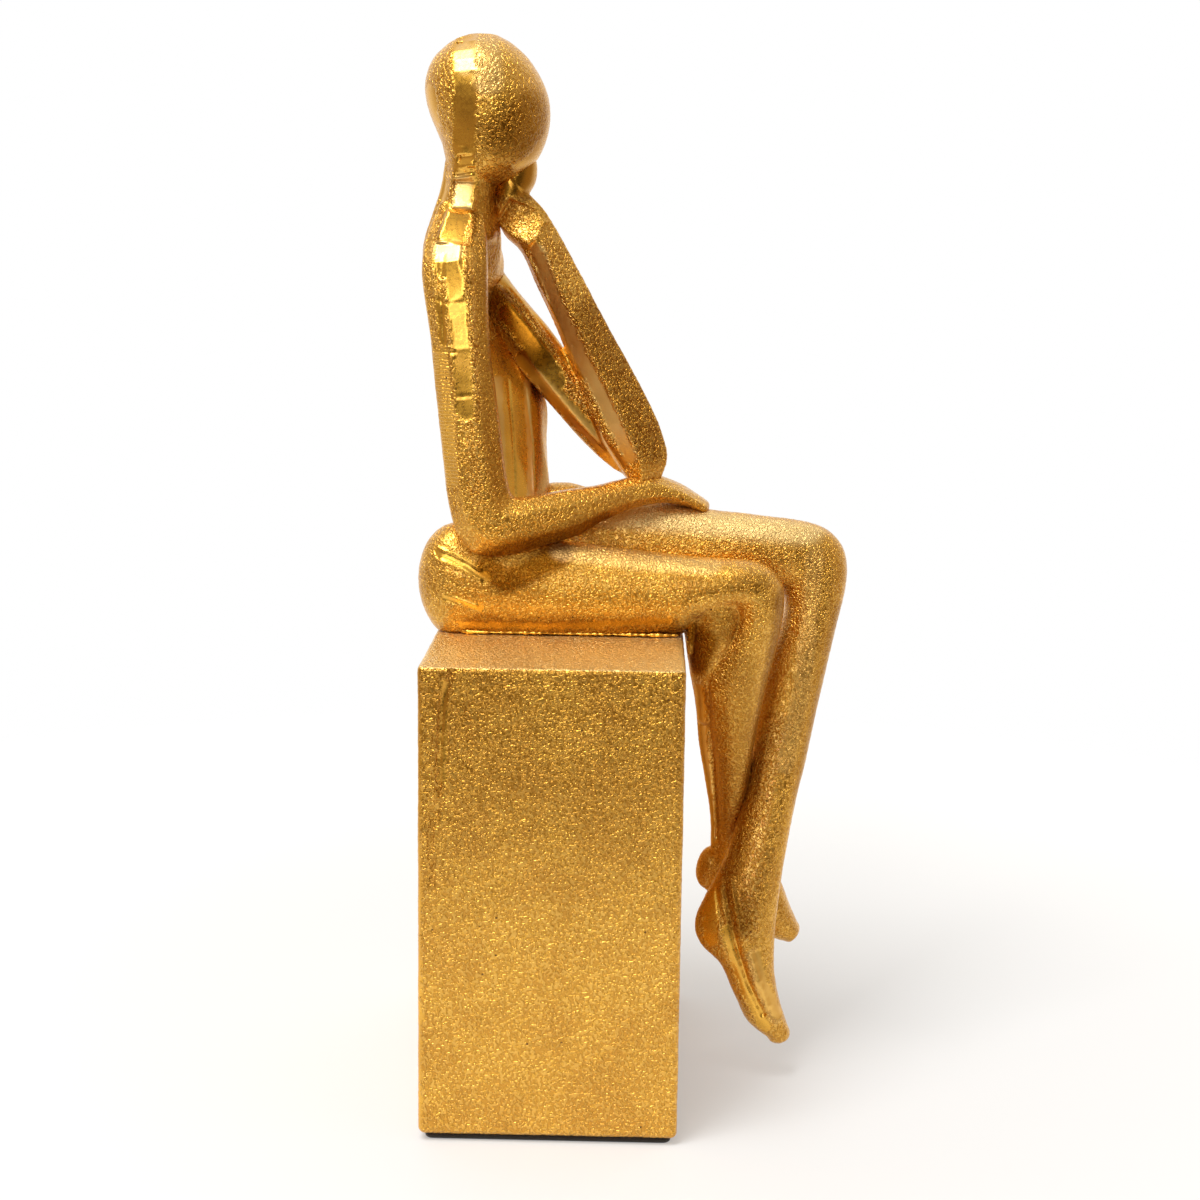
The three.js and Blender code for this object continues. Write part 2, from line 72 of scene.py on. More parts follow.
HEAD = {
    "domes": (0.4, 0.8),
    "stations": [
        (-46.6, 141.1, -53.5, 141.2, 0, 3.6, 2, 0),
        (-42.8, 139, -58, 139.3, 0, 7.8, 2, 0),
        (-38.7, 135, -62.1, 135.2, 0, 11.8, 2, 0),
        (-35.5, 129.6, -63.8, 129.4, 0, 13.6, 2, 0),
        (-34.1, 124, -63, 123.6, 0, 13.8, 2, 0),
        (-34.6, 118.4, -60.7, 118.2, 0, 13, 2, 0),
        (-37, 112.8, -58.4, 112.6, 0, 11.4, 2, 0),
        (-41.2, 108.8, -58.2, 108.6, 0, 9, 2, 0),
        (-46.6, 106, -57.4, 105.4, 0, 5.6, 2, 0),
    ],
}
NECK = {
    "domes": (2, 2),
    "stations": [
        (-42, 124, -61.5, 123.6, 0, 12.6, 2, 0),
        (-44.2, 117, -59.8, 116.6, 0, 11.4, 2, 0),
        (-45.8, 111, -58.8, 110.6, 0, 9.8, 2, 0),
        (-46.8, 105.5, -59.6, 105, 0, 8.6, 2.1, 0),
        (-46.8, 100, -61.6, 99.4, 0, 8.4, 2.2, 0),
        (-46.6, 94, -62.6, 93, 0, 8.6, 2.2, 0),
    ],
}
TORSO = {
    "domes": (2, 4),
    "facets": (30, 75, 120, 180, 230, 272, 312, 350),
    "crisp": 0.9,
    "stations": [
        (-47.5, 112, -59, 111.5, 0, 6.8, 2, 0),
        (-47.4, 106, -60, 105.5, 0, 6.8, 2, 0),
        (-46.6, 100, -62, 99.5, 0, 7.4, 2, 0),
        (-46, 93, -63.4, 92, 0, 9, 2, 20),
        (-45.8, 86.5, -63.3, 84, 0, 10, 2.2, 45),
        (-47, 77, -62, 75, 0, 10.2, 2.2, 58),
        (-41.6, 66, -60.2, 64, 0, 10.4, 2.2, 56),
        (-35.7, 55, -59.5, 54, 0, 10.6, 2.2, 48),
        (-35, 45, -58, 44, 0, 11, 2.3, 38),
        (-34.1, 36, -56.8, 34, 0, 12, 2.4, 25),
        (-33.5, 27, -56, 25, 0, 13.5, 2.4, 10),
        (-31.9, 18, -55.5, 16, 0, 14, 2.4, 0),
    ],
}
RIGHT_ARM = {
    "domes": (3, 1.2),
    "facets": (0, 45, 90, 135, 180, 225, 270, 315),
    "crisp": 0.9,
    "stations": [
        (-49.6, 100.6, -60.4, 100.6, 9.4 - SHOULDER, 3.2, 2.1, 0),
        (-48.8, 97, -61.8, 96.8, 6.9 - SHOULDER, 4, 2.1, 0),
        (-48.2, 92.6, -62.9, 92.2, 3.9 - SHOULDER, 5.2, 2.1, 0),
        (-47.9, 87, -63.2, 86.6, 1.2 - SHOULDER, 5.9, 2.1, 0),
        (-47.7, 79, -62.3, 79, -SHOULDER, 6, 2.1, 0),
        (-47.2, 70, -60.9, 70, -0.8 - SHOULDER, 6, 2.1, 0),
        (-46, 60, -59.9, 60, -1 - SHOULDER, 6, 2.1, 0),
        (-44.6, 50, -58.8, 50, -1 - SHOULDER, 6, 2.1, 0),
        (-43.5, 41, -57.8, 40.5, -1 - SHOULDER, 6, 2.1, 0),
        (-42.6, 36, -57, 33.5, -0.8 - SHOULDER, 6, 2.1, 0),
        (-42, 34.2, -55.2, 25.8, -0.5 - SHOULDER, 6, 2.1, 0),
        (-41.6, 33.4, -51.8, 20.4, -SHOULDER, 6, 2.1, 0),
        (-40.6, 33, -47.4, 18.9, 0.4 - SHOULDER, 6, 2.1, 0),
        (-38.2, 33.2, -42, 19.4, 1.2 - SHOULDER, 5.8, 2.1, 0),
        (-34, 33.8, -35, 21, 3 - SHOULDER, 5.4, 2.1, 0),
        (-28, 34.6, -26.5, 23.4, 6 - SHOULDER, 5, 2.1, 0),
        (-21.5, 35.2, -19.5, 26.8, 10 - SHOULDER, 4.6, 2.1, 0),
        (-14.8, 36.4, -12.5, 29.2, 14.5 - SHOULDER, 4.4, 2.1, 0),
        (-8.5, 37, -6.1, 30.1, 18.5 - SHOULDER, 4.8, 2.2, 0),
        (-2.3, 34.8, -0.8, 29.2, 22 - SHOULDER, 5.8, 2.3, 0),
        (2.4, 32, 2, 28.2, 23.6 - SHOULDER, 5.7, 2.3, 0),
        (5.6, 29.8, 4, 26.8, 24.6 - SHOULDER, 5, 2.2, 0),
    ],
}
LEFT_UPPER_ARM = {
    "domes": (3, 2),
    "facets": (0, 50, 90, 140, 180, 225, 270, 320),
    "crisp": 1,
    "stations": [
        (-50.6, 97.4, -60.8, 97.2, SHOULDER - 6.4, 3.4, 2, 0),
        (-49.4, 93, -62.3, 91.4, SHOULDER - 4, 5, 2, 0),
        (-48, 89, -60.2, 83.6, SHOULDER - 3, 5.6, 2, 0),
        (-44.9, 84.6, -53.6, 75, SHOULDER - 4.6, 5.7, 2, 0),
        (-41, 79.8, -46.4, 67.8, SHOULDER - 7, 5.6, 2.1, 0),
        (-33.8, 71.9, -39.1, 59.8, SHOULDER - 8.6, 5.3, 2.2, 0),
        (-27.2, 62.6, -32.4, 52.3, SHOULDER - 7.6, 5.2, 2.2, 0),
        (-20.4, 54, -26, 45, SHOULDER - 6.6, 5, 2.2, 0),
        (-14, 46.6, -18.4, 38.4, SHOULDER - 7.2, 4.6, 2.1, 0),
        (-9.4, 41, -14.4, 36.9, SHOULDER - 9.2, 4, 2, 0),
    ],
}
LEFT_FIST = {
    "domes": (1.5, 1.5),
    "stations": [
        (-38.6, 114.4, -45.6, 113.4, 1.4, 4.2, 2.1, 0),
        (-37.5, 112.4, -46.2, 111.2, 1.4, 5, 2.1, 0),
        (-37.2, 110, -47, 108.4, 1.6, 5.4, 2.1, 0),
        (-37.7, 107, -47.6, 104.8, 1.8, 5.4, 2.1, 0),
        (-39.2, 104, -47.9, 100.8, 1.8, 5.2, 2.1, 0),
        (-38.4, 101.4, -45.6, 96.6, 1, 4.8, 2.1, 0),
    ],
}
LEFT_FOREARM = {
    "domes": (1.5, 1.8),
    "facets": (15, 75, 135, 195, 238, 305),
    "crisp": 1,
    "stations": [
        (-39.4, 104.2, -47.6, 100.4, 1.6, 4.8, 2.1, 0),
        (-36.2, 101, -44.2, 94.6, SHOULDER - 14.1, 5, 2.1, 0),
        (-32.6, 95.6, -40.3, 90.6, SHOULDER - 14, 4.6, 1.9, 0),
        (-27.1, 85.6, -36.3, 82, SHOULDER - 13.2, 4.6, 1.7, 0),
        (-21, 74.2, -31, 70.8, SHOULDER - 12, 5, 1.7, 0),
        (-14.6, 62.8, -26.6, 59.4, SHOULDER - 11, 5.3, 1.7, 0),
        (-10.7, 55.4, -24.2, 52.4, SHOULDER - 10.6, 5.5, 1.7, 0),
        (-7.5, 48.6, -21.4, 46, SHOULDER - 10.2, 5.6, 1.7, 0),
        (-5.5, 41.6, -18, 40.8, SHOULDER - 10, 5.4, 1.8, 0),
        (-6.8, 36, -14.6, 36, SHOULDER - 9.6, 4.8, 2, 0),
    ],
}
RIGHT_LEG = {
    "domes": (10, 2),
    "stations": [
        (-55.8, 26, -53.7, -2.8, -HIP, 8.6, 2.2, 0),
        (-42, 23.8, -41, -3.5, -HIP, 8.9, 2.2, 0),
        (-28, 21.8, -28, -3.5, -HIP, 8.8, 2.2, 0),
        (-14, 20.2, -14, -3, -HIP, 8.4, 2.2, 0),
        (-2, 19, -3, -1.5, -HIP, 8.2, 2.2, 0),
        (8, 18.2, 4.6, 3.6, -HIP, 8, 2.2, 0),
        (15.5, 17.8, 9.6, 6, 0.2 - HIP, 7.8, 2.2, 0),
        (20.6, 16, 12, 5.8, 0.3 - HIP, 7.6, 2.2, 0),
        (23.6, 12, 12.6, 3.6, 0.5 - HIP, 7.4, 2.2, 0),
        (24.2, 6.8, 11.8, 0.4, 0.8 - HIP, 7.3, 2.2, 0),
        (23.5, 1, 9.2, -4, 1.1 - HIP, 7.2, 2.2, 0),
        (22.3, -5.2, 6.6, -7.8, 1.5 - HIP, 7.1, 2.2, 0),
        (20.6, -13, 5, -13.2, 2.2 - HIP, 7, 2.2, 0),
        (18.8, -24, 6.8, -23, 4 - HIP, 6.4, 2.2, 0),
        (17.5, -35, 8.6, -34.4, 6.8 - HIP, 5.6, 2.2, 0),
        (16.9, -46, 9.6, -46.2, 10.5 - HIP, 4.7, 2.2, 0),
        (16.4, -55, 10, -56, 13.6 - HIP, 4.2, 2.2, 0),
        (17, -62, 9, -64, 15.4 - HIP, 4.2, 2.2, 0),
    ],
}
KNEE_WEB = {
    "domes": (1, 2),
    "stations": [
        (13.5, 13.5, -3.5, 8.4, -7.6, 7.6, 2, 0),
        (15.4, 7.4, -0.6, 3, -7.2, 7.4, 2, 0),
        (14.6, 0, 0.8, -3.4, -6.6, 6.8, 2, 0),
        (11.6, -7.6, 1.8, -9.6, -5.8, 5.6, 2, 0),
        (9, -15, 3, -15.6, -4.4, 4, 2, 0),
        (8.4, -22, 3.8, -22.4, -3.2, 2.8, 2, 0),
    ],
}
DRIP = {
    "domes": (0.5, 0.8),
    "stations": [
        (3.4, 4, 0.7, 4, -13, 1.3, 2, 0),
        (2.8, 1, 0.6, 1, -13.6, 1, 2, 0),
        (2.4, -2, 0.6, -2, -13.8, 0.9, 2, 0),
        (2.3, -4, 0.7, -4, -13.8, 0.8, 2, 0),
    ],
}
RIGHT_CALF = {
    "domes": (1, 1),
    "stations": [
        (13.5, 8.5, -1.6, 4.6, 3 - HIP, 3.4, 2.4, 0),
        (14.6, 3, 0.1, -1, 3.4 - HIP, 3.4, 2.4, 0),
        (13, -4, 1, -6.2, 4 - HIP, 3.2, 2.4, 0),
        (10.5, -11, 2, -11.8, 4.8 - HIP, 3, 2.4, 0),
        (9.6, -20, 3.5, -20.4, 6 - HIP, 2.8, 2.4, 0),
        (10.6, -29, 4.5, -29.6, 7.8 - HIP, 2.6, 2.4, 0),
        (11.8, -39, 6.3, -39.6, 10.4 - HIP, 2.4, 2.4, 0),
        (12.6, -50, 8, -50.6, 13 - HIP, 2.2, 2.4, 0),
        (12.6, -60, 8.1, -60.6, 14.6 - HIP, 2.2, 2.4, 0),
        (12.6, -66, 8, -66.5, 15 - HIP, 2.2, 2.4, 0),
    ],
}
RIGHT_FOOT = {
    "domes": (3.2, 1.4),
    "stations": [
        (9, -58.6, 6.8, -69.6, 15.8 - HIP, 3.8, 2, 0),
        (14.5, -56.5, 10, -72.6, 16 - HIP, 4.6, 2, 0),
        (20.6, -59.7, 14.6, -76.2, 16.3 - HIP, 5, 2, 0),
        (25.7, -66.4, 19.4, -79.4, 16.8 - HIP, 5.3, 2.1, 0),
        (28.9, -74, 24.2, -82.6, 17.2 - HIP, 5.2, 2.1, 0),
        (31.3, -79.4, 28.2, -83.8, 17.4 - HIP, 4.4, 2.1, 0),
    ],
}
LEFT_LEG = {
    "domes": (9, 2.4),
    "stations": [
        (-55.4, 24.4, -54, -3, HIP, 8.6, 2.2, 0),
        (-43, 31.6, -41, -3.5, HIP, 8.9, 2.2, 0),
        (-30, 34.2, -27, -2.8, HIP, 8.8, 2.2, 0),
        (-18, 31, -14, 0.6, HIP, 8.5, 2.2, 0),
        (-5, 29.8, -1, 4.6, HIP, 8.2, 2.2, 0),
        (6, 28, 8.5, 7.8, HIP, 8, 2.2, 0),
        (18, 26.8, 16.6, 9.4, HIP, 7.8, 2.2, 0),
        (28.4, 25.6, 22.4, 9, HIP, 7.6, 2.2, 0),
        (35.1, 23.6, 24.8, 7, HIP, 7.4, 2.2, 0),
        (39.2, 19.6, 25.2, 4, HIP - 0.2, 7.3, 2.2, 0),
        (40.6, 14.2, 24.6, 0.6, HIP - 0.5, 7.2, 2.2, 0),
        (40.1, 8, 23.6, -3, HIP - 0.9, 7.1, 2.2, 0),
        (38.2, -1.2, 22, -8.5, HIP - 1.6, 7, 2.2, 0),
        (36, -11.5, 20.3, -16, HIP - 2.6, 6.9, 2.2, 0),
        (33.9, -21.5, 18.6, -25, HIP - 4, 6.7, 2.2, 0),
        (31.6, -33, 17, -36, HIP - 6.2, 6.3, 2.2, 0),
        (29, -43.5, 15, -46.5, HIP - 9, 5.8, 2.2, 0),
        (27.1, -53, 12.4, -55, HIP - 12, 5.4, 2.2, 0),
        (25.7, -61, 9.4, -62, HIP - 14.5, 5.1, 2.2, 0),
        (24.9, -67, 6.5, -67, HIP - 16.3, 4.9, 2.2, 0),
        (24.2, -73, 4.2, -72.8, HIP - 17.6, 4.8, 2.2, 0),
        (24, -79, 5.5, -78, HIP - 18.3, 4.7, 2.2, 0),
        (24.2, -85, 10.6, -83.4, HIP - 18.6, 4.7, 2.2, 0),
        (25.3, -91.3, 14.2, -91, HIP - 18.8, 4.6, 2.2, 0),
        (26.8, -96.4, 17.7, -98, HIP - 18.8, 4.3, 2.2, 0),
        (28.5, -100.8, 22.8, -102, HIP - 18.8, 3.6, 2.2, 0),
    ],
}

# Marks on the side that faces the camera, in the limbs' millimetres. A path is a
# list of (x, z), seen from that side.
#   strips: pressed flat between points (x, z, width). A fourth number leans a strip
#     and sinks the edge on its left, and a fifth sinks it whole.
#   polish: a path and the width that has no wrinkles.
#   scores: a path, its half width and its depth, below nought for a ridge.
#   combed: a path and the width that has comb lines in place of wrinkles.
#   crust: a path, its width and how many more wrinkles it has.
#   painted_shade, pale: a path, its width and how dark or pale the coat is painted there: painted
#       shade where shade falls, and a painted highlight where light falls.
#   top: how pale the coat is painted on top, a painted highlight on the faces that look up.
#   sunk: how far the whole skin is drawn in, so that its relief keeps to the size.
#   coarse: wrinkles of a wider pitch.
#   rough: how wrinkled the coat is where nothing else is said.

HEAD_MARKS = {
    "strips": [
        [(-53.9, 141, 4.6), (-53.8, 139.2, 5.2), (-53.6, 137, 5.3), (-53.4, 134.6, 5.4),
         (-53.2, 132, 5.6), (-53.2, 129, 5.7), (-53.3, 126, 5.7), (-53.4, 123, 5.6),
         (-53.5, 119, 5.4), (-53.7, 115.2, 5.2)],
        [(-53.4, 112.8, 4, -0.6, 0.7), (-53.4, 110.6, 4.2, -0.6, -0.7)],
        [(-53.8, 109.6, 4.4, -0.3, -0.2), (-54, 107.4, 4.6, -0.3, 0)],
        [(-53.8, 107, 5.4, -0.7, 0.9), (-54.2, 100.6, 6, -0.7, -1.5)],
    ],
    "polish": [
        ([(-54, 142), (-53.4, 131), (-53.6, 115)], 5.6),
        ([(-53.8, 112), (-53.3, 106), (-54, 100), (-56, 93)], 5.2),
        ([(-62, 128), (-61, 112), (-59, 104)], 3),
        ([(-41, 110), (-37.6, 112.4), (-35.4, 116)], 2.6),
        ([(-41.6, 64), (-40, 50), (-38.5, 36), (-38, 26)], 16),
    ],
    "scores": [
        ([(-55.8, 108.5), (-51.6, 109.2)], 0.25, 0.35),
        ([(-55.8, 107.7), (-51.6, 108.4)], 0.22, -0.25),
        ([(-55.8, 107), (-51.8, 107.6)], 0.22, 0.3),
        ([(-56.8, 99.9), (-51.6, 100.9)], 0.25, 0.25),
        ([(-52.1, 103.4), (-52.3, 101.8)], 0.2, 0.3),
        ([(-43.6, 60), (-42.2, 47), (-41.4, 33)], 0.25, 0.3),
        ([(-39.6, 58), (-37.8, 45), (-37, 34)], 0.3, 0.35),
    ],
    # Painted shade: on the face and neck beside the fist, and down the front of the trunk.
    "painted_shade": [
        ([(-38, 121), (-42, 117)], 17, 0.75),
        ([(-45, 108), (-46, 100), (-46.4, 88)], 9, 0.6),
        ([(-46, 107.6), (-40, 110.6), (-36, 115)], 6, 0.5),
        ([(-37, 60), (-35.6, 44), (-35, 32)], 4.6, 0.7),
    ],
    # Painted highlights: on the head, the neck band and the front of the trunk.
    "pale": [
        ([(-46, 60), (-45, 44), (-44, 30)], 2.4, 0.4),
        ([(-39.4, 60), (-38.2, 44), (-37.6, 30)], 1.6, 0.6),
        ([(-53.8, 137), (-53.4, 133)], 4.6, 0.4),
        ([(-49, 137), (-48, 130)], 8, 0.35),
        ([(-54.2, 106.4), (-54.4, 101.6)], 5, 0.6),
    ],
    "coarse": True,
    "rough": 0.8,
}
RIGHT_ARM_MARKS = {
    "strips": [
        [(-54.7, 99.6, 6.4, 1.1, -1), (-56, 93.2, 7.4, 1.1, -0.1)],
        [(-57, 92.4, 7, -0.3, -0.4), (-57, 88.4, 6.4, -0.3, -0.5)],
        [(-56.6, 88.2, 5.8, -0.2), (-54.8, 80.6, 4.6, -0.2)],
        [(-54.4, 79.4, 4.6), (-53.4, 68.8, 4.4)],
        [(-53.3, 68.2, 4.4), (-52.4, 57.4, 4), (-51.8, 50, 3.6)],
        [(-58.6, 88.4, 2.4), (-58, 79.4, 2.6), (-57.2, 69.2, 2.8)],
        [(-57, 67.4, 3.2), (-56.4, 56, 3.4), (-55.4, 44, 3.4)],
    ],
    "polish": [
        ([(-55.4, 100), (-56.6, 93), (-57, 88)], 6.6),
        ([(-55.8, 92), (-54.5, 79), (-53.2, 66), (-52.3, 54)], 4.4),
        ([(-58.6, 80), (-57.4, 70)], 2),
    ],
    "scores": [
        ([(-59.6, 93), (-57.4, 93.2)], 0.3, -0.25),
        ([(-59.6, 68.6), (-55.2, 67.8)], 0.3, 0.42),
        ([(-59.4, 67.4), (-55.2, 66.8)], 0.25, -0.25),
        ([(-60, 79.8), (-56.4, 79)], 0.25, 0.3),
        ([(-55.6, 57.4), (-51, 57.6)], 0.25, 0.2),
        ([(-51.6, 91.6), (-51.1, 83), (-50.6, 72)], 0.3, -0.28),
        ([(-57.9, 90), (-58.1, 80), (-57.4, 70)], 0.2, 0.2),
    ],
    "combed": [([(-58.4, 67), (-57.6, 60), (-56.8, 50), (-55.8, 38)], 3.6)],
    "crust": [([(-52.6, 86), (-51, 66), (-50.4, 46), (-49.6, 32)], 3.4, 0.6)],
    # Painted shade: down the arm's front edge, under the forearm on the lap, and beside the shoulder.
    "painted_shade": [
        ([(-48.4, 92), (-47.6, 70), (-46, 50), (-44, 36)], 6, 0.5),
        ([(-46, 19), (-40, 21), (-30, 23), (-20, 26)], 8, 0.9),
        ([(-58.9, 100), (-59.8, 93)], 1.6, 0.6),
        ([(-51.2, 100), (-51.6, 92.4)], 1.8, 0.6),
    ],
    # Painted highlight on the shoulder.
    "pale": [([(-58.6, 91), (-55.6, 91)], 5, 0.5)],
    "rough": 1.0,
}
LEFT_ARM_MARKS = {
    "strips": [
        [(-36.6, 90.6, 3), (-32.6, 79.6, 2.8), (-27.8, 68.9, 3), (-22.6, 59.3, 3.6),
         (-17.8, 49.8, 4), (-14.8, 43, 4)],
        [(-44.8, 100.6, 6.6, 0.6, 1.2), (-41, 98.2, 8.2, 0.8, 0.2), (-36.8, 95, 7.6, 0.8, -1.6)],
    ],
    "polish": [
        ([(-37.4, 92), (-32.4, 79), (-27.6, 68.6), (-22.4, 59), (-17.4, 49.2), (-14, 42)], 3.4),
        ([(-48, 108), (-40, 108), (-38, 112)], 8),
        ([(-46, 86), (-38, 79.6), (-31, 70), (-26, 63)], 5),
        ([(-44, 76), (-36, 66), (-32, 60)], 5),
        ([(-40, 65), (-32, 56), (-24, 47.6), (-17, 40)], 4.4),
    ],
    "scores": [
        ([(-44.6, 81), (-41.2, 77.2), (-35.2, 69), (-29, 62.4)], 0.3, 0.5),
        ([(-43.6, 82.2), (-40.2, 78.2), (-34.4, 70.2), (-28.4, 63.6)], 0.3, -0.25),
        ([(-31, 61.6), (-28.4, 58.6), (-27.4, 55)], 0.35, 0.4),
        ([(-40.6, 93.6), (-38.4, 89.6), (-36.6, 87)], 0.3, 0.3),
        ([(-44.4, 110), (-42.8, 107), (-40.8, 104.8), (-40, 103.4)], 0.35, 0.2),
        ([(-43.6, 110.4), (-42, 107.4), (-40, 105.2), (-39.2, 103.8)], 0.3, -0.15),
        ([(-47.8, 101), (-47.2, 105), (-45.6, 108.6), (-42.6, 111)], 0.35, -0.2),
    ],
    # Painted shade: on the far upper arm, round the fist and down the forearm.
    "painted_shade": [
        ([(-47, 79), (-41, 71.5), (-36.4, 65.6)], 9, 1),
        ([(-46, 110), (-45.8, 104)], 5, 0.7),
        ([(-24, 76), (-14, 57), (-9, 44)], 10, 0.6),
        ([(-40, 111), (-40.4, 106)], 8, 0.7),
    ],
    # Painted highlights along the forearm and the upper arm.
    "pale": [
        ([(-36.8, 91), (-32.4, 79), (-27.6, 68.6), (-22.4, 59), (-17.4, 49.2), (-14, 42)], 4, 0.5),
        ([(-41, 64), (-32, 55.6), (-24, 47), (-17, 40)], 4, 0.3),
        ([(-44.6, 85), (-38, 79.6), (-31, 71), (-27, 65.4)], 3.4, 0.6),
    ],
    "crust": [
        ([(-30, 60), (-25, 54)], 6, 1),
        ([(-32, 92), (-22, 73), (-12, 53), (-9, 44)], 8, 0.6),
    ],
    "rough": 1.1,
}
RIGHT_LEG_MARKS = {
    "strips": [
        [(-58.4, 19.4, 1.6), (-53, 17.2, 2), (-48.4, 14.4, 1.6)],
        [(-57.6, 16.8, 1.4), (-53.2, 15, 1.6), (-50, 13.2, 1.2)],
        [(-57.2, 9.2, 1.4), (-53.4, 7.8, 1.6), (-50.2, 6.8, 1.2)],
    ],
    "polish": [
        ([(-58.6, 19.6), (-53, 17.2), (-48, 14)], 3),
        ([(-57.6, 9.4), (-53, 8), (-49, 6.6)], 1.6),
        ([(-54, 2.4), (-30, 2.4), (-4, 4)], 1.6),
        ([(4, -14), (5, -27), (7, -40), (8.4, -56)], 2.6),
    ],
    "scores": [
        ([(-59.6, 20.8), (-54, 18.8), (-49, 16)], 0.25, -0.4),
        ([(-58.6, 17.8), (-53.2, 16), (-49, 13.4)], 0.25, -0.35),
        ([(-57.6, 15.4), (-53.4, 13.8)], 0.25, -0.25),
        ([(-58, 9.8), (-53.4, 8.4), (-50, 7.2)], 0.25, -0.3),
        ([(6.2, -12), (7.2, -24), (8.4, -37), (9.8, -55)], 0.35, 0.6),
    ],
    # Painted shade and shadow: down the shin, along the seat, the elbow's and hand's shadows on the
    # thigh, behind the knee and along the crease by the far leg.
    "painted_shade": [
        ([(13, -8), (14, -30), (13.4, -50)], 12, 0.4),
        ([(-50, 1.8), (-3, 1.8)], 8, 0.8),
        ([(-47.4, 16.6), (-43, 13.4), (-38, 15.4), (-30, 19.6)], 8, 1),
        ([(3, 3), (10, 2)], 9, 0.6),
        ([(2, 1), (5.5, -1), (3.6, -7)], 8, 1),
        ([(23, 10), (22.4, 0), (20, -14), (18, -30), (16.6, -46)], 4, 0.6),
        ([(-50, 21), (-44, 19)], 6, 0.5),
        ([(-2, 13), (10, 13), (18, 13.4)], 6, 0.35),
    ],
    # Painted highlights: down the shin and along the top of the thigh.
    "pale": [
        ([(3, -12), (4.6, -27), (6.4, -40), (7.8, -56)], 3.2, 0.6),
        ([(-30, 21), (-12, 19), (6, 18)], 6, 0.3),
    ],
    "rough": 1.0,
}
LEFT_LEG_MARKS = {
    "polish": [
        ([(9, -61), (8, -68), (8, -76)], 3.4),
        ([(19.4, -80), (20.8, -87), (25, -95)], 3),
        ([(12, -74), (17, -88), (22, -98)], 3),
    ],
    "scores": [
        ([(11.4, -64), (12.6, -70), (14.6, -78), (17.6, -87), (21.4, -95)], 0.5, 0.8),
        ([(12.8, -62), (14.4, -70), (16.6, -79), (19.8, -88)], 0.5, -0.5),
        ([(17, -76), (20, -85.6), (22.6, -93)], 0.6, -0.5),
        ([(9.2, -61), (9.4, -66), (11, -72)], 0.4, 0.5),
    ],
    # Painted shade: along the crease where the legs cross and down the far shin.
    "painted_shade": [
        ([(39, 4), (36, -12), (33, -26), (30, -44)], 5, 0.4),
        ([(25.6, 9), (24.6, 0), (22.2, -14), (19.8, -28), (18, -42)], 3.6, 0.6),
        ([(16.6, -34), (14.6, -46), (13, -56), (13.6, -64), (15, -72)], 8, 0.7),
    ],
    # Painted highlights: on top of the thigh, down the shin and on the foot.
    "pale": [
        ([(-20, 30), (30, 26)], 12, 0.75),
        ([(32, 18), (30, -14), (26, -34)], 5, 0.15),
        ([(18.6, -80), (20.4, -87), (25, -96)], 4, 0.2),
    ],
    "crust": [([(24, -24), (21, -40), (19, -54), (17.6, -66), (17.6, -74)], 5, 0.8)],
    "rough": 1.0,
}
PLINTH_MARKS = {
    "polish": [
        ([(-60, 0), (-60, -111)], 1.4),
        ([(-54, -4), (-54.6, -26)], 1.6),
    ],
    "scores": [
        ([(-52.4, -1), (-54.6, -8), (-55.4, -20), (-55.6, -34)], 0.5, 0.7),
        ([(-53.4, -1), (-55.6, -8), (-56.4, -20), (-56.6, -30)], 0.4, -0.35),
        ([(-56.8, -33), (-57.2, -42), (-57, -50)], 0.5, 0.6),
        ([(-51.4, -10), (-50.4, -20), (-50.2, -28)], 0.4, 0.2),
        ([(-49.6, -6), (-48.6, -14), (-48.2, -24)], 0.45, 0.4),
        ([(-57.6, -103), (-55.4, -107), (-52, -109)], 0.4, -0.3),
        ([(-58.6, -106.6), (-55, -109.6)], 0.3, -0.3),
        ([(-27, -14), (-22, -15.4), (-19, -14.6)], 0.5, -0.25),
        ([(-3.6, -2), (-2.8, -8), (-2.4, -18)], 0.4, -0.25),
    ],
    # Painted shade, slight, over the whole near face.
    "painted_shade": [([(-70, 0), (10, 0)], 120, 0.3)],
    # A painted highlight over the upper face.
    "top": 0.65,
    "sunk": 0.22,
    "coarse": True,
    "rough": 0.9,
}

# The glue line, from behind the hip to the front of the seat: x, y outwards and z.
THIGH_EDGE = HIP + 6.6
GLUE_PATH = [
    (-57, 5, 0.3),
    (-56.4, 10, 0.35),
    (-52.6, THIGH_EDGE - 0.5, 0.4),
    (-40, THIGH_EDGE, 0.4),
    (-28, THIGH_EDGE, 0.4),
    (-14, THIGH_EDGE + 0.1, 0.4),
    (-5, THIGH_EDGE + 0.1, 0.4),
    (-1.4, THIGH_EDGE - 0.2, 0.4),
]

# The noise's table of directions, and the factors that pick one from it
LATTICE_SIZE = 4096
LATTICE_FACTORS = np.array([73856093, 19349663, 83492791])


# Surfaces


def spread(stations, steps):
    """Stations or path points made finer with a Catmull-Rom spline through them, steps to each gap.

    Between rungs b and c, with a before and d after, the value at t is half of
    2b + (c - a)t + (2a - 5b + 4c - d)t^2 + (3b - a - 3c + d)t^3.
    """
    rungs = np.array(stations, float)
    count = len(rungs)
    at = np.linspace(0, count - 1, (count - 1) * steps + 1)
    first = np.minimum(at.astype(int), count - 2)
    t = (at - first)[:, None]
    a = rungs[np.maximum(first - 1, 0)]
    b = rungs[first]
    c = rungs[first + 1]
    d = rungs[np.minimum(first + 2, count - 1)]
    return 0.5 * (2 * b + (c - a) * t + (2 * a - 5 * b + 4 * c - d) * t**2
                  + (3 * b - a - 3 * c + d) * t**3)


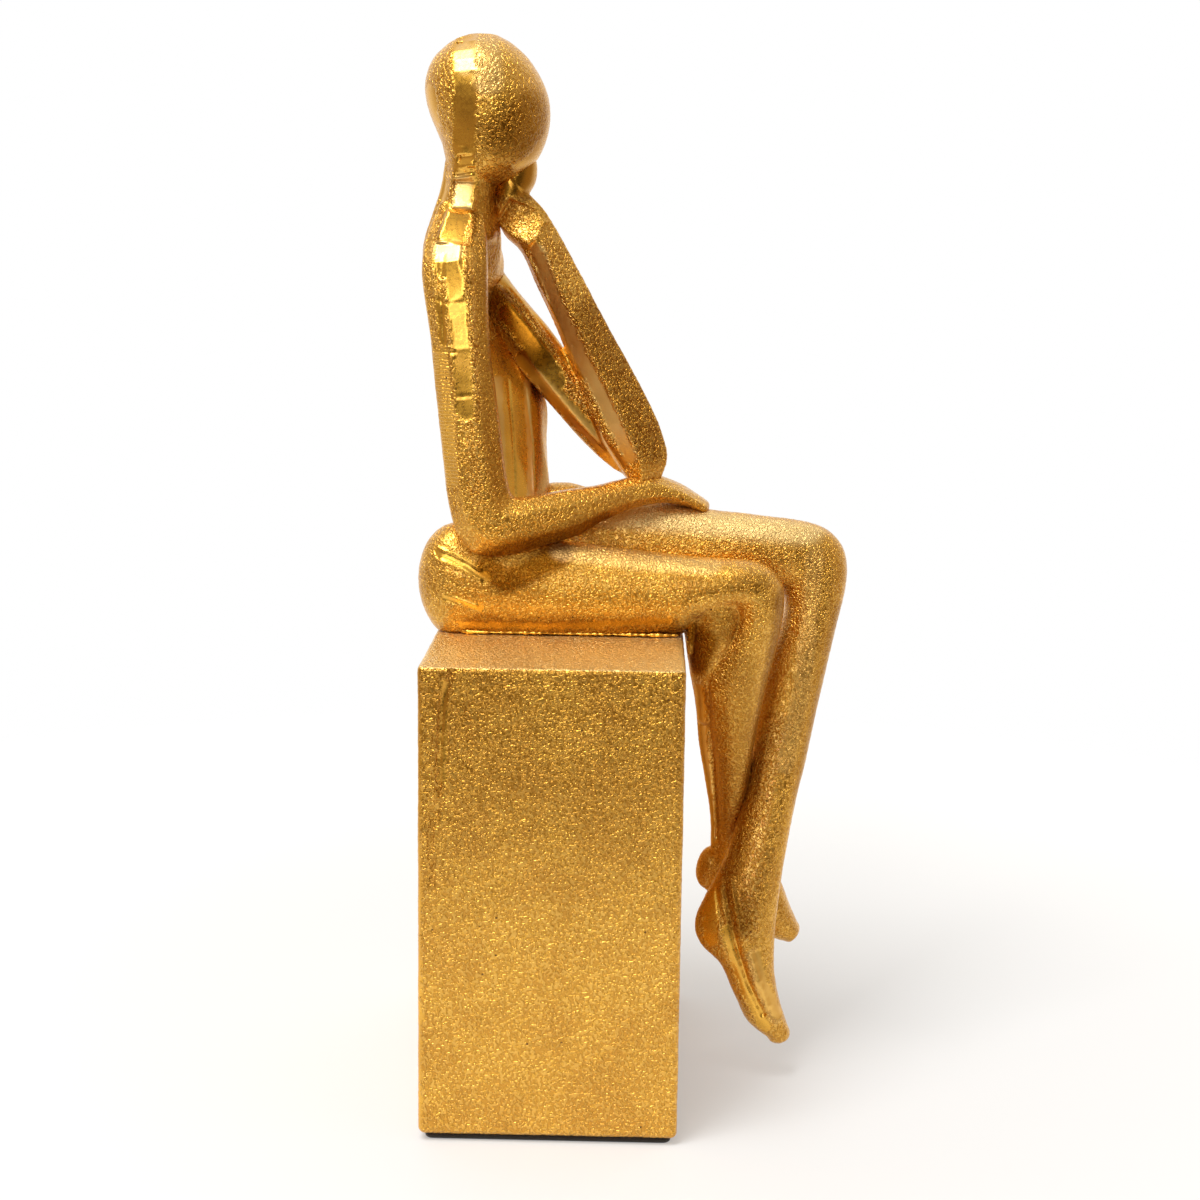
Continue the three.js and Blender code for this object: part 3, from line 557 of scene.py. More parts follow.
def section(angle, roundness, facets, crisp):
    """A section's outline: cosine and sine, each raised to 2/roundness, planed by facets.

    The planed outline's radius is the sum over the facets of the positive part
    of cos(angle - facet) to a high power, taken to minus one over that power.
    """
    c, s = np.cos(angle), np.sin(angle)
    power = 2 / roundness
    c, s = np.sign(c) * np.abs(c) ** power, np.sign(s) * np.abs(s) ** power
    if facets:
        sharp = 26
        turned = angle[..., None] - np.radians(facets)
        planed = (np.maximum(np.cos(turned), 0) ** sharp).sum(-1) ** (-1 / sharp)
        mixed = 1 + crisp * (planed / np.hypot(c, s) - 1)
        c, s = c * mixed, s * mixed
    return c, s


def limb_surface(limb, around=96, steps=10, grow=0.0):
    """A limb as a closed surface: sections along its rungs, with a dome on each end.

    At v along and u round: the rung's middle, plus half the rung times
    cos u cos(turn) + sin u sin(turn), plus y across times sin u. On a dome the
    section shrinks with cos w and moves out by the dome's height times sin w. The
    last ring stops short of the pole, which closes the dome just past it.
    """
    rungs = spread(limb["stations"], steps)
    rows, short, past = 12, 0.4, 0.02
    w = (np.pi / 2) * np.arange(1, rows + 1) / (rows + short)
    first, last = limb["domes"]
    scale = np.r_[np.cos(w[::-1]), np.ones(len(rungs)), np.cos(w)]
    push = np.r_[-(first + grow) * np.sin(w[::-1]), np.zeros(len(rungs)), (last + grow) * np.sin(w)]
    rungs = np.concatenate([rungs[:1].repeat(rows, 0), rungs, rungs[-1:].repeat(rows, 0)])
    front, back, y, half, roundness, turn = (
        rungs[:, 0:2], rungs[:, 2:4], rungs[:, 4], rungs[:, 5], rungs[:, 6], np.radians(rungs[:, 7]),
    )
    across = (front - back) / 2
    length = np.hypot(*across.T)[:, None]
    ahead = np.stack([across[:, 1], -across[:, 0]], -1) / length
    across *= (length + grow) / length
    middle = (front + back) / 2 + ahead * push[:, None]
    angle = np.tile(np.linspace(0, 2 * np.pi, around, endpoint=False), (len(rungs), 1))
    c, s = section(angle, roundness[:, None], limb.get("facets", ()), limb.get("crisp", 1))
    along = (c * np.cos(turn)[:, None] + s * np.sin(turn)[:, None]) * scale[:, None]
    x = middle[:, :1] + across[:, :1] * along
    z = middle[:, 1:] + across[:, 1:] * along
    y = y[:, None] + (half[:, None] + grow) * s * scale[:, None]
    points = np.stack([x, y, z], -1).reshape(-1, 3)
    poles = np.array([
        [middle[0, 0] - past * ahead[0, 0], rungs[0, 4], middle[0, 1] - past * ahead[0, 1]],
        [middle[-1, 0] + past * ahead[-1, 0], rungs[-1, 4], middle[-1, 1] + past * ahead[-1, 1]],
    ])
    return np.concatenate([points, poles]), tube_faces(len(rungs), around)


def tube_faces(rows, around):
    """Faces of a grid that closes round its columns, with a pole before and after it."""
    k = np.arange(around)
    after = (k + 1) % around
    r = np.arange(rows - 1)[:, None] * around
    quads = np.stack([r + k, r + around + k, r + around + after, r + after], -1).reshape(-1, 4)
    pole = np.full(around, rows * around)
    end = (rows - 1) * around
    caps = [np.stack([pole, k, after], -1), np.stack([pole + 1, end + after, end + k], -1)]
    return quads.tolist() + np.concatenate(caps).tolist()


def in_frame(points):
    """Figure millimetres to the frame's metres: seat corner and mid-plane added, then scaled."""
    figure = bpy.context.scene.figurine_figure
    corner = np.array([plinth_high[0], figure.shift, plinth_high[2]])
    return points * MM + corner


def to_figure(points):
    """The frame's metres back to figure millimetres."""
    figure = bpy.context.scene.figurine_figure
    corner = np.array([plinth_high[0], figure.shift, plinth_high[2]])
    return (points - corner) / MM


def new_object(name, points, faces):
    """A mesh object at the origin with its points where they are wanted."""
    mesh = bpy.data.meshes.new(name)
    mesh.from_pydata(points.tolist(), [], faces)
    mesh.update()
    piece = bpy.data.objects.new(name, mesh)
    bpy.context.scene.collection.objects.link(piece)
    return piece


def joined(name, surfaces):
    """Several surfaces as one mesh, with each one's faces moved up by the points before it."""
    points = np.concatenate([p for p, _ in surfaces])
    faces = []
    start = 0
    for p, f in surfaces:
        faces += [[i + start for i in face] for face in f]
        start += len(p)
    return new_object(name, points, faces)


def settle(piece):
    """Applies a piece's modifiers to its mesh."""
    graph = bpy.context.evaluated_depsgraph_get()
    mesh = bpy.data.meshes.new_from_object(piece.evaluated_get(graph))
    old = piece.data
    piece.modifiers.clear()
    piece.data = mesh
    mesh.name = piece.name
    bpy.data.meshes.remove(old)


def remove(piece):
    """Deletes a piece with its mesh."""
    mesh = piece.data
    bpy.data.objects.remove(piece)
    bpy.data.meshes.remove(mesh)


def points_of(piece):
    """A piece's points as rows of x, y and z."""
    points = np.empty(len(piece.data.vertices) * 3)
    piece.data.vertices.foreach_get("co", points)
    return points.reshape(-1, 3)


def normals_of(piece):
    """The outward normal at each of a piece's points."""
    normals = np.empty(len(piece.data.vertices) * 3)
    piece.data.vertices.foreach_get("normal", normals)
    return normals.reshape(-1, 3)


# Patterns


def lattice(seed):
    """A repeatable table of random unit directions for the noise."""
    rng = np.random.default_rng(seed)
    directions = rng.normal(size=(LATTICE_SIZE, 3))
    return directions / np.linalg.norm(directions, axis=1)[:, None]


def noise(points, size, seed):
    """Gradient noise with cells of the given size, from about -1 to 1.

    Each cell corner has a direction; a point's value is the mix, by the curve
    6t^5 - 15t^4 + 10t^3 on each axis, of the directions' dot products with it.
    """
    reach = 1.6
    table = lattice(seed)
    p = points / size
    cell = np.floor(p).astype(np.int64)
    inside = p - cell
    fade = inside**3 * (inside * (inside * 6 - 15) + 10)
    value = np.zeros(len(points))
    for corner in range(8):
        bit = np.array([corner & 1, corner >> 1 & 1, corner >> 2 & 1])
        at = cell + bit
        x, y, z = (at * LATTICE_FACTORS).T
        index = (x ^ y ^ z) & (LATTICE_SIZE - 1)
        weight = np.where(bit, fade, 1 - fade).prod(-1)
        value += weight * (table[index] * (inside - bit)).sum(-1)
    return value * reach


def ease(value, low, high):
    """0 below low, 1 above high, and t^2(3 - 2t) between."""
    t = np.clip((value - low) / (high - low), 0, 1)
    return t * t * (3 - 2 * t)


def side_distance(points, path):
    """Distance of each point from a line of (x, z) points, seen from the side."""
    p = points[:, [0, 2]]
    path = np.array(path, float)
    best = np.full(len(p), 1e9)
    for a, b in zip(path[:-1], path[1:]):
        along = b - a
        t = np.clip(((p - a) @ along) / (along @ along), 0, 1)
        best = np.minimum(best, np.linalg.norm(p - a - t[:, None] * along, axis=1))
    return best


def press_strip(points, near, strip, wobble):
    """Planes a strip of the near side into flats that meet at the strip's points.

    At each point the surface's y is taken at both edges, moved by the lift, and
    leans twice the lean over the width. Between two points, at t along and u
    across a width w, y is the mix by t of the two ends' straight lines from edge
    to edge at u/w. It fades into the skin at the strip's uneven rim, and leaves a
    point that would move further than the deepest press.
    """
    deepest = 3.5
    strip = np.array([(*spot, 0, 0)[:5] for spot in strip], float)
    spots, widths, leans, lifts = strip[:, :2], strip[:, 2], strip[:, 3], strip[:, 4]
    along = np.gradient(spots, axis=0)
    along /= np.linalg.norm(along, axis=1)[:, None]
    across = np.stack([along[:, 1], -along[:, 0]], -1)
    seen = np.flatnonzero(near)
    flat = points[seen][:, [0, 2]]
    edges = []
    for sign in (-0.5, 0.5):
        wanted = spots + across * (sign * widths)[:, None]
        gaps = np.linalg.norm(flat[None] - wanted[:, None], axis=2)
        edges.append(points[seen[gaps.argmin(1)], 1] + lifts)
    y = points[:, 1].copy()
    place = points[:, [0, 2]]
    last = len(strip) - 2
    for k in range(last + 1):
        step = spots[k + 1] - spots[k]
        size = np.linalg.norm(step)
        off = place - spots[k]
        t = off @ step / size**2
        u = (off[:, 0] * step[1] - off[:, 1] * step[0]) / size
        w = widths[k] * (1 - t) + widths[k + 1] * t
        share = u / np.maximum(w, 0.1)
        flats = [(edges[0][j] + edges[1][j]) / 2 + (edges[1][j] - edges[0][j] - 2 * leans[j]) * share
                 for j in (k, k + 1)]
        plane = flats[0] * (1 - t) + flats[1] * t
        begun = ease(t * size, -0.5, 0.1) if k == 0 else t >= 0
        ended = ease((t - 1) * size, -0.1, 0.5) if k == last else t >= 1
        weight = near * begun * (1 - ended) * (1 - ease(np.abs(share + 0.1 * wobble), 0.42, 0.56))
        y = y + np.where(np.abs(y - plane) < deepest, weight * (plane - y), 0)
    return np.column_stack([points[:, 0], y, points[:, 2]])


def mark(piece, marks):
    """Presses a piece's strips, cuts its scores and finds where its coat is of which kind, with where
    shade and highlights are painted on it.

    A score moves y by its depth times e to the minus square of the distance over
    the half width. The other marks are shares from 0 to 1 of the side that faces
    the camera, which fall off by the distance from their path.
    """
    points, normals = to_figure(points_of(piece)), normals_of(piece)
    near = normals[:, 1] < -0.15
    wobble = noise(points, 2.2, 31) * 0.5 + noise(points, 0.9, 32) * 0.3
    facing = ease(-normals[:, 1], 0.1, 0.4)
    for strip in marks.get("strips", ()):
        points = press_strip(points, near, strip, wobble)
    for path, width, depth in marks.get("scores", ()):
        gap = side_distance(points, path) + wobble * 0.25
        points[:, 1] += facing * depth * np.exp(-((gap / width) ** 2))

    def cover(path, width, core=0.3, uneven=0.5):
        gap = side_distance(points, path) + wobble * uneven
        return 1 - ease(gap, width * core, width * 0.6)

    rough = np.full(len(points), float(marks["rough"]))
    for path, width in marks.get("polish", ()):
        gap = side_distance(points, path) + wobble - width / 2
        lip = 0.3 * np.exp(-(((gap - 0.7) / 0.6) ** 2))
        rough = rough * (1 - facing * (1 - ease(gap, -0.3, 0.4))) + facing * lip * rough
    for path, width, amount in marks.get("crust", ()):
        rough = rough + facing * (rough > 0.4) * amount * cover(path, width, uneven=1)
    combed = np.zeros(len(points))
    for path, width in marks.get("combed", ()):
        gap = side_distance(points, path) + wobble - width / 2
        combed = np.maximum(combed, facing * (1 - ease(gap, -0.4, 0.4)))
    # Painted shade: how far the coat is darkened here, where shade falls on it.
    shaded = np.zeros(len(points))
    for path, width, amount in marks.get("painted_shade", ()):
        shaded = np.maximum(shaded, facing * amount * cover(path, width, core=0.2))
    # Painted highlight: how far the coat is lightened here, where light falls on it, and on faces that
    # look up.
    pale = np.zeros(len(points))
    for path, width, amount in marks.get("pale", ()):
        pale = np.maximum(pale, facing * amount * cover(path, width))
    if "top" in marks:
        pale = np.maximum(pale, marks["top"] * ease(normals[:, 2], 0.6, 0.9))
    piece.data.vertices.foreach_set("co", in_frame(points).ravel())
    piece.data.update()
    return {"wrinkled": np.clip(rough * (1 - 0.8 * combed), 0, 2.5), "combed": combed,
            "tarnished": shaded, "paled": pale}


def wrinkles(points, pitch, seed):
    """Worm-like raised lines: 1 where a twisted noise crosses zero, falling off to 0.

    The points are first moved by a slower noise on each axis. The value is e to
    the minus square of the noise there over 0.16.
    """
    twist = np.stack([noise(points, pitch * 2.4, seed + k) for k in (1, 2, 3)], -1)
    value = noise(points + twist * pitch * 0.7, pitch, seed)
    return np.exp(-((value / 0.16) ** 2))


# Castings


def casting(name, limbs, cutters, voxel, seat=False):
    """Lofts melted into one skin, then cut back from what they stand against."""
    piece = joined(name, [limb_surface(limb) for limb in limbs])
    remesh = piece.modifiers.new("skin", "REMESH")
    remesh.mode = "VOXEL"
    remesh.voxel_size = voxel
    smooth = piece.modifiers.new("melt", "SMOOTH")
    smooth.factor = 0.5
    smooth.iterations = 3
    settle(piece)
    parts = [joined("cutter", [limb_surface(limb, 48, 4, GLUE_LINE)]) for limb in cutters]
    if seat:
        parts.append(seat_block())
    for cutter in parts:
        cut = piece.modifiers.new("cut", "BOOLEAN")
        cut.operation = "DIFFERENCE"
        cut.solver = "MANIFOLD"
        cut.object = cutter
        settle(piece)
        remove(cutter)
    points = in_frame(points_of(piece))
    piece.data.vertices.foreach_set("co", points.ravel())
    piece.data.update()
    return piece


def seat_block():
    """The plinth's room in figure millimetres: a box under the seat and behind its front edge.

    It is wider and taller than the legs reach, so only its top and front cut them.
    """
    length, depth, height = 120, 100, 120
    x = np.array([0, 1, 1, 0, 0, 1, 1, 0]) * length + GLUE_LINE - length
    y = (np.array([0, 0, 1, 1, 0, 0, 1, 1]) - 0.5) * depth
    z = np.array([0, 0, 0, 0, 1, 1, 1, 1]) * height + GLUE_LINE - height
    faces = [[3, 2, 1, 0], [4, 5, 6, 7], [0, 1, 5, 4], [1, 2, 6, 5], [2, 3, 7, 6], [3, 0, 4, 7]]
    return new_object("seat_block", np.stack([x, y, z], -1), faces)


def gild(piece, marks):
    """Marks a piece, raises the wrinkles between its polished places and coats it.

    Each point moves along its normal by a slow noise at two sizes, less what the
    skin is sunk, plus the wrinkles' height times how wrinkled it is there.
    """
    finish = bpy.context.scene.figurine_finish
    places = mark(piece, marks)
    rough = places["wrinkled"]
    points = to_figure(points_of(piece))
    normals = normals_of(piece)
    swell = noise(points, 9, 11) * 0.09 + noise(points, 4, 12) * 0.03 - marks.get("sunk", 0)
    raised = wrinkles(points, finish.pitch * 2.4 / MM, 21) * finish.relief * 0.36 / MM
    moved = points_of(piece) + normals * ((swell + raised * rough) * MM)[:, None]
    piece.data.vertices.foreach_set("co", moved.ravel())
    for name, value in places.items():
        attribute = piece.data.attributes.new(name, "FLOAT", "POINT")
        attribute.data.foreach_set("value", value.astype(np.float32))
    piece.data.update()
    finish_piece(piece, gilt_material("gilt_coarse", 1.3) if "coarse" in marks else gilt_material())


def finish_piece(piece, material):
    """Gives a piece its one material and smooth shading."""
    piece.data.materials.clear()
    piece.data.materials.append(material)
    piece.data.shade_smooth()


# Finishes


class Nodes:
    """Short ways to add nodes to a tree and join them."""

    def __init__(self, tree):
        self.tree = tree
        self.tree.nodes.clear()

    def add(self, kind, **settings):
        node = self.tree.nodes.new(kind)
        for key, value in settings.items():
            setattr(node, key, value)
        return node

    def join(self, start, end):
        self.tree.links.new(start, end)

    def value(self, start, end):
        if isinstance(start, (int, float)):
            end.default_value = start
        else:
            self.join(start, end)

    def math(self, operation, a, b=0.0, c=0.0):
        node = self.add("ShaderNodeMath", operation=operation)
        for k, entry in enumerate((a, b, c)):
            self.value(entry, node.inputs[k])
        return node.outputs[0]

    def span(self, value, low, high, out_low=0.0, out_high=1.0):
        """Eases from one number to the other while the value goes from low to high."""
        node = self.add("ShaderNodeMapRange", interpolation_type="SMOOTHSTEP")
        self.join(value, node.inputs["Value"])
        ends = {"From Min": low, "From Max": high, "To Min": out_low, "To Max": out_high}
        for key, number in ends.items():
            node.inputs[key].default_value = number
        return node.outputs[0]

    def blend(self, share, a, b, mode="MIX"):
        node = self.add("ShaderNodeMix", data_type="RGBA", blend_type=mode)
        self.value(share, node.inputs["Factor"])
        for entry, socket in ((a, node.inputs[6]), (b, node.inputs[7])):
            if isinstance(entry, tuple):
                socket.default_value = (*entry, 1)
            else:
                self.join(entry, socket)
        return node.outputs[2]

    def bump(self, height, distance, strength=1.0, under=None):
        node = self.add("ShaderNodeBump")
        self.join(height, node.inputs["Height"])
        node.inputs["Distance"].default_value = distance
        node.inputs["Strength"].default_value = strength
        if under is not None:
            self.join(under, node.inputs["Normal"])
        return node.outputs[0]


class Finish(Nodes):
    """A new material's nodes, round one shader, with patterns on the piece's own place."""

    def __init__(self, name):
        self.material = bpy.data.materials.new(name)
        self.material.use_nodes = True
        super().__init__(self.material.node_tree)
        self.shader = self.add("ShaderNodeBsdfPrincipled")
        output = self.add("ShaderNodeOutputMaterial")
        self.join(self.shader.outputs[0], output.inputs["Surface"])
        self.place = self.add("ShaderNodeTexCoord").outputs["Object"]

    def stretched(self, scale):
        """The piece's own place, stretched for fibres or drawn lines."""
        node = self.add("ShaderNodeMapping")
        self.join(self.place, node.inputs["Vector"])
        node.inputs["Scale"].default_value = scale
        return node.outputs[0]

    def noise(self, scale, detail=2.0, rough=0.5, twist=0.0, at=None):
        node = self.add("ShaderNodeTexNoise")
        self.join(at or self.place, node.inputs["Vector"])
        node.inputs["Scale"].default_value = scale
        node.inputs["Detail"].default_value = detail
        node.inputs["Roughness"].default_value = rough
        node.inputs["Distortion"].default_value = twist
        return node.outputs["Fac"]

    def cells(self, scale):
        node = self.add("ShaderNodeTexVoronoi")
        self.join(self.place, node.inputs["Vector"])
        node.inputs["Scale"].default_value = scale
        return node

    def pits(self, scale, size):
        """Small round spots, at a quarter of the cells of the given scale."""
        cells = self.cells(scale)
        pick = self.add("ShaderNodeSeparateColor")
        self.join(cells.outputs["Color"], pick.inputs[0])
        chosen = self.math("GREATER_THAN", pick.outputs[0], 0.72)
        spot = self.span(cells.outputs["Distance"], size, size * 1.9, 1.0, 0.0)
        return self.math("MULTIPLY", chosen, spot)

    def attribute(self, name):
        return self.add("ShaderNodeAttribute", attribute_name=name).outputs["Fac"]

    def coat(self, colour, roughness, height, depth):
        """Joins a colour, a roughness and a bump to the shader, and gives the material."""
        self.join(colour, self.shader.inputs["Base Color"])
        self.value(roughness, self.shader.inputs["Roughness"])
        self.join(self.bump(height, depth), self.shader.inputs["Normal"])
        return self.material


def gilt_material(name="gilt", coarse=1.0):
    """Warm gold coat: metal, with worm-like wrinkles and grain in its bump, darker in the hollows,
    partly as patina and partly as painted shade, with painted highlights on the crests.

    The wrinkles are a noise cut off below 0.36 and above 0.64, which leaves a maze of ridges.
    """
    if name in bpy.data.materials:
        return bpy.data.materials[name]
    finish = bpy.context.scene.figurine_finish
    n = Finish(name)
    rough, combed = n.attribute("wrinkled"), n.attribute("combed")
    # Painted shade and painted highlights, as the marks laid them on.
    shaded, pale = n.attribute("tarnished"), n.attribute("paled")

    # Patterns, each at so many cells to the wrinkles' pitch
    worm = n.span(n.noise(1.6 / finish.pitch / coarse, 0.0, 0.5, 0.8), 0.36, 0.64)
    grain = n.noise(1.1 / finish.pitch, 1.0, 0.5)
    dents = n.noise(0.1 / finish.pitch, 1.0, 0.5)
    pits = n.pits(0.24 / finish.pitch, 0.045)
    comb = n.add("ShaderNodeTexWave", wave_type="BANDS", bands_direction="Z")
    n.join(n.place, comb.inputs["Vector"])
    comb.inputs["Scale"].default_value = 380
    comb.inputs["Distortion"].default_value = 2.6
    comb.inputs["Detail Scale"].default_value = 0.6

    # Height: wrinkles and grain where the coat is wrinkled, comb lines, pits
    height = n.math("ADD", n.math("MULTIPLY", worm, n.math("MULTIPLY_ADD", rough, 1.0, 0.02)),
                    n.math("MULTIPLY", grain, n.math("MULTIPLY_ADD", rough, 0.2, 0.03)))
    height = n.math("MULTIPLY_ADD", comb.outputs["Fac"], n.math("MULTIPLY", combed, 1.6), height)
    height = n.math("MULTIPLY_ADD", pits, -1.5, height)

    # Colour: dark hollows (partly patina, partly painted shade of the relief), painted highlights on
    # the crests, stains, pits, painted shade and painted highlights
    # Hollows: partly patina, partly painted shade that stands in for the relief's own shading.
    hollows = n.math("MULTIPLY", n.span(worm, 0.0, 0.6, 0.5, 0.0), rough)
    tone = n.blend(hollows, tuple(finish.gold), tuple(finish.hollow))
    # Crests: a painted highlight along the wrinkles' ridges.
    crest_highlights = n.math("MULTIPLY", n.span(worm, 0.7, 1.0, 0.0, 0.12), rough)
    tone = n.blend(crest_highlights, tone, tuple(finish.pale))
    tone = n.blend(n.span(dents, 0.35, 0.7, 0.0, 0.25), tone, tuple(finish.hollow))
    tone = n.blend(pits, tone, tuple(finish.pit))
    # Painted shade: the coat darkened where shade falls.
    tone = n.blend(shaded, tone, tuple(finish.painted_shade), "MULTIPLY")
    # Painted highlight: the coat lightened where light falls.
    tone = n.blend(pale, tone, tuple(finish.pale))
    n.join(tone, n.shader.inputs["Base Color"])

    # Gloss: a thin clear coat over the metal, both on the same relief
    shine = n.math("MULTIPLY_ADD", rough, 0.05, finish.roughness - 0.08)
    shine = n.math("MULTIPLY_ADD", pale, 0.2, shine)
    n.join(n.math("ADD", shine, n.span(grain, 0.3, 0.7, -0.03, 0.05)), n.shader.inputs["Roughness"])
    n.shader.inputs["Metallic"].default_value = 1.0
    fine = n.bump(height, finish.relief * coarse)
    uneven = n.bump(dents, finish.relief * 3.2, 0.35, fine)
    n.join(uneven, n.shader.inputs["Normal"])
    n.join(uneven, n.shader.inputs["Coat Normal"])
    # The clear coat thins under the painted shade, which dims its highlight there.
    n.join(n.math("MULTIPLY_ADD", shaded, -0.4, 0.42), n.shader.inputs["Coat Weight"])
    n.shader.inputs["Coat Roughness"].default_value = 0.15
    return n.material


def felt_material():
    """Dark wool felt: matted fibres in colour and bump, a soft sheen."""
    n = Finish("felt")
    n.shader.inputs["Sheen Weight"].default_value = 0.3
    fibres = n.noise(2600, 5, 0.7, 1.5)
    colour = n.blend(fibres, (0.012, 0.010, 0.009), (0.05, 0.043, 0.037))
    return n.coat(colour, 0.95, fibres, 0.0002)


def board_material():
    """Pressed board: brown with short pale fibres."""
    n = Finish("board")
    fibres = n.noise(900, 4, 0.65, 0.6, n.stretched((1, 4, 4)))
    colour = n.blend(fibres, (0.22, 0.12, 0.05), (0.42, 0.27, 0.14))
    return n.coat(colour, n.span(fibres, 0.3, 0.7, 0.75, 0.9), fibres, 0.0001)


def plaster_material():
    """Cast plaster: off-white with small air holes."""
    n = Finish("plaster")
    cloud = n.noise(120, 4, 0.6)
    holes = n.span(n.cells(300).outputs["Distance"], 0.0, 0.25)
    colour = n.blend(cloud, (0.62, 0.59, 0.53), (0.76, 0.73, 0.67))
    return n.coat(colour, n.span(cloud, 0.3, 0.7, 0.85, 0.95), holes, 0.0003)


def steel_material():
    """Drawn steel: fine lines along the bar."""
    n = Finish("drawn_steel")
    n.shader.inputs["Metallic"].default_value = 1.0
    lines = n.noise(900, 3, 0.6, 0.0, n.stretched((8, 8, 1)))
    colour = n.blend(lines, (0.42, 0.42, 0.41), (0.6, 0.6, 0.59))
    return n.coat(colour, n.span(lines, 0.3, 0.7, 0.3, 0.45), lines, 0.00003)


# Settings a user would change


class FIGURINE_PG_figure(bpy.types.PropertyGroup):
    """Where the figure sits and how finely it is cast."""

    shift: bpy.props.FloatProperty(
        name="Shift", description="Figure's mid-plane from the plinth's middle",
        default=0.0045, subtype="DISTANCE", unit="LENGTH")
    voxel: bpy.props.FloatProperty(
        name="Skin", description="Size of the skin's facets, in figure millimetres",
        default=0.42, min=0.2, max=2)


class FIGURINE_PG_plinth(bpy.types.PropertyGroup):
    """Plinth's edges and faces."""

    top_radius: bpy.props.FloatProperty(
        name="Top edge", description="Rounding of the upper edges",
        default=0.0011, subtype="DISTANCE", unit="LENGTH")
    foot_radius: bpy.props.FloatProperty(
        name="Foot edge", description="Rounding of the lower edges",
        default=0.0018, subtype="DISTANCE", unit="LENGTH")
    corner_radius: bpy.props.FloatProperty(
        name="Upright edge", description="Rounding of the four upright edges",
        default=0.0016, subtype="DISTANCE", unit="LENGTH")
    facet: bpy.props.FloatProperty(
        name="Facet", description="Size of the faces that carry the relief",
        default=0.00076, subtype="DISTANCE", unit="LENGTH")


class FIGURINE_PG_finish(bpy.types.PropertyGroup):
    """Gold coat."""

    gold: bpy.props.FloatVectorProperty(
        name="Gold", description="Colour of the coat", subtype="COLOR", size=3,
        default=(0.88, 0.475, 0.06), min=0, max=1)
    # Hollows: partly patina, partly painted shade of the relief; also the tone of the random blotches.
    hollow: bpy.props.FloatVectorProperty(
        name="Hollows", description="Colour of the coat in its hollows", subtype="COLOR", size=3,
        default=(0.5, 0.2, 0.02), min=0, max=1)
    pit: bpy.props.FloatVectorProperty(
        name="Pits", description="Colour inside the small pits", subtype="COLOR", size=3,
        default=(0.22, 0.1, 0.02), min=0, max=1)
    # Pale: the colour of the painted highlights on the crests, on lit places and on top.
    pale: bpy.props.FloatVectorProperty(
        name="Pale", description="Colour of the coat where it is painted pale", subtype="COLOR", size=3,
        default=(0.93, 0.69, 0.3), min=0, max=1)
    # The tint of the painted shade, multiplied into the coat where shade falls.
    painted_shade: bpy.props.FloatVectorProperty(
        name="Shade", description="Tint where the coat is dull", subtype="COLOR", size=3,
        default=(0.38, 0.27, 0.12), min=0, max=1)
    roughness: bpy.props.FloatProperty(
        name="Roughness", description="Roughness of the coat", default=0.36, min=0, max=1,
        subtype="FACTOR")
    pitch: bpy.props.FloatProperty(
        name="Wrinkle pitch", description="Distance from wrinkle to wrinkle", default=0.0009,
        subtype="DISTANCE", unit="LENGTH")
    relief: bpy.props.FloatProperty(
        name="Relief", description="Height of the wrinkles", default=0.00015,
        subtype="DISTANCE", unit="LENGTH")


class FIGURINE_PG_studio(bpy.types.PropertyGroup):
    """Camera, lights and floor."""

    lens: bpy.props.FloatProperty(
        name="Lens", description="Focal length on a 36 mm sensor, in millimetres", default=63)
    key: bpy.props.FloatProperty(
        name="Key", description="Power of the softbox at upper left", default=9,
        subtype="POWER", unit="POWER")
    front: bpy.props.FloatProperty(
        name="Front", description="Power of the softbox at front left", default=1.9,
        subtype="POWER", unit="POWER")
    dark: bpy.props.FloatProperty(
        name="Dark", description="Brightness of the dark side of the room", default=0.1, min=0)
    ceiling: bpy.props.FloatProperty(
        name="Ceiling", description="Brightness of the room overhead", default=0.55, min=0)
    warm: bpy.props.FloatVectorProperty(
        name="Sides", description="Colour of the room beside and before the object", subtype="COLOR",
        size=3, default=(1, 0.74, 0.46), min=0, max=1)
    floor: bpy.props.FloatVectorProperty(
        name="Floor", description="Colour of the floor", subtype="COLOR", size=3,
        default=(0.55, 0.55, 0.55), min=0, max=1)


# One operator for each piece or group of like pieces


class FIGURINE_OT_legs(bpy.types.Operator):
    """Make the two legs, crossed at the ankles."""

    bl_idname = "figurine.legs"
    bl_label = "Legs"

    def execute(self, context):
        voxel = context.scene.figurine_figure.voxel
        right_limbs = [RIGHT_LEG, RIGHT_CALF, RIGHT_FOOT]
        right = casting("right_leg_casting", [*right_limbs, KNEE_WEB, DRIP], [], voxel, True)
        left = casting("left_leg_casting", [LEFT_LEG], [*right_limbs, KNEE_WEB], voxel, True)
        for piece, node, marks in (
            (right, "right_leg", RIGHT_LEG_MARKS), (left, "left_leg", LEFT_LEG_MARKS),
        ):
            gild(piece, marks)
            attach(piece, BODY)
            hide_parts(node)
        return {"FINISHED"}


class FIGURINE_OT_trunk(bpy.types.Operator):
    """Make the trunk with the neck and head."""

    bl_idname = "figurine.trunk"
    bl_label = "Trunk and head"

    def execute(self, context):
        voxel = context.scene.figurine_figure.voxel
        legs = [RIGHT_LEG, LEFT_LEG]
        piece = casting("trunk_and_head_casting", [TORSO, NECK, HEAD], legs, voxel)
        gild(piece, HEAD_MARKS)
        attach(piece, BODY)
        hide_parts("torso_and_head")
        return {"FINISHED"}


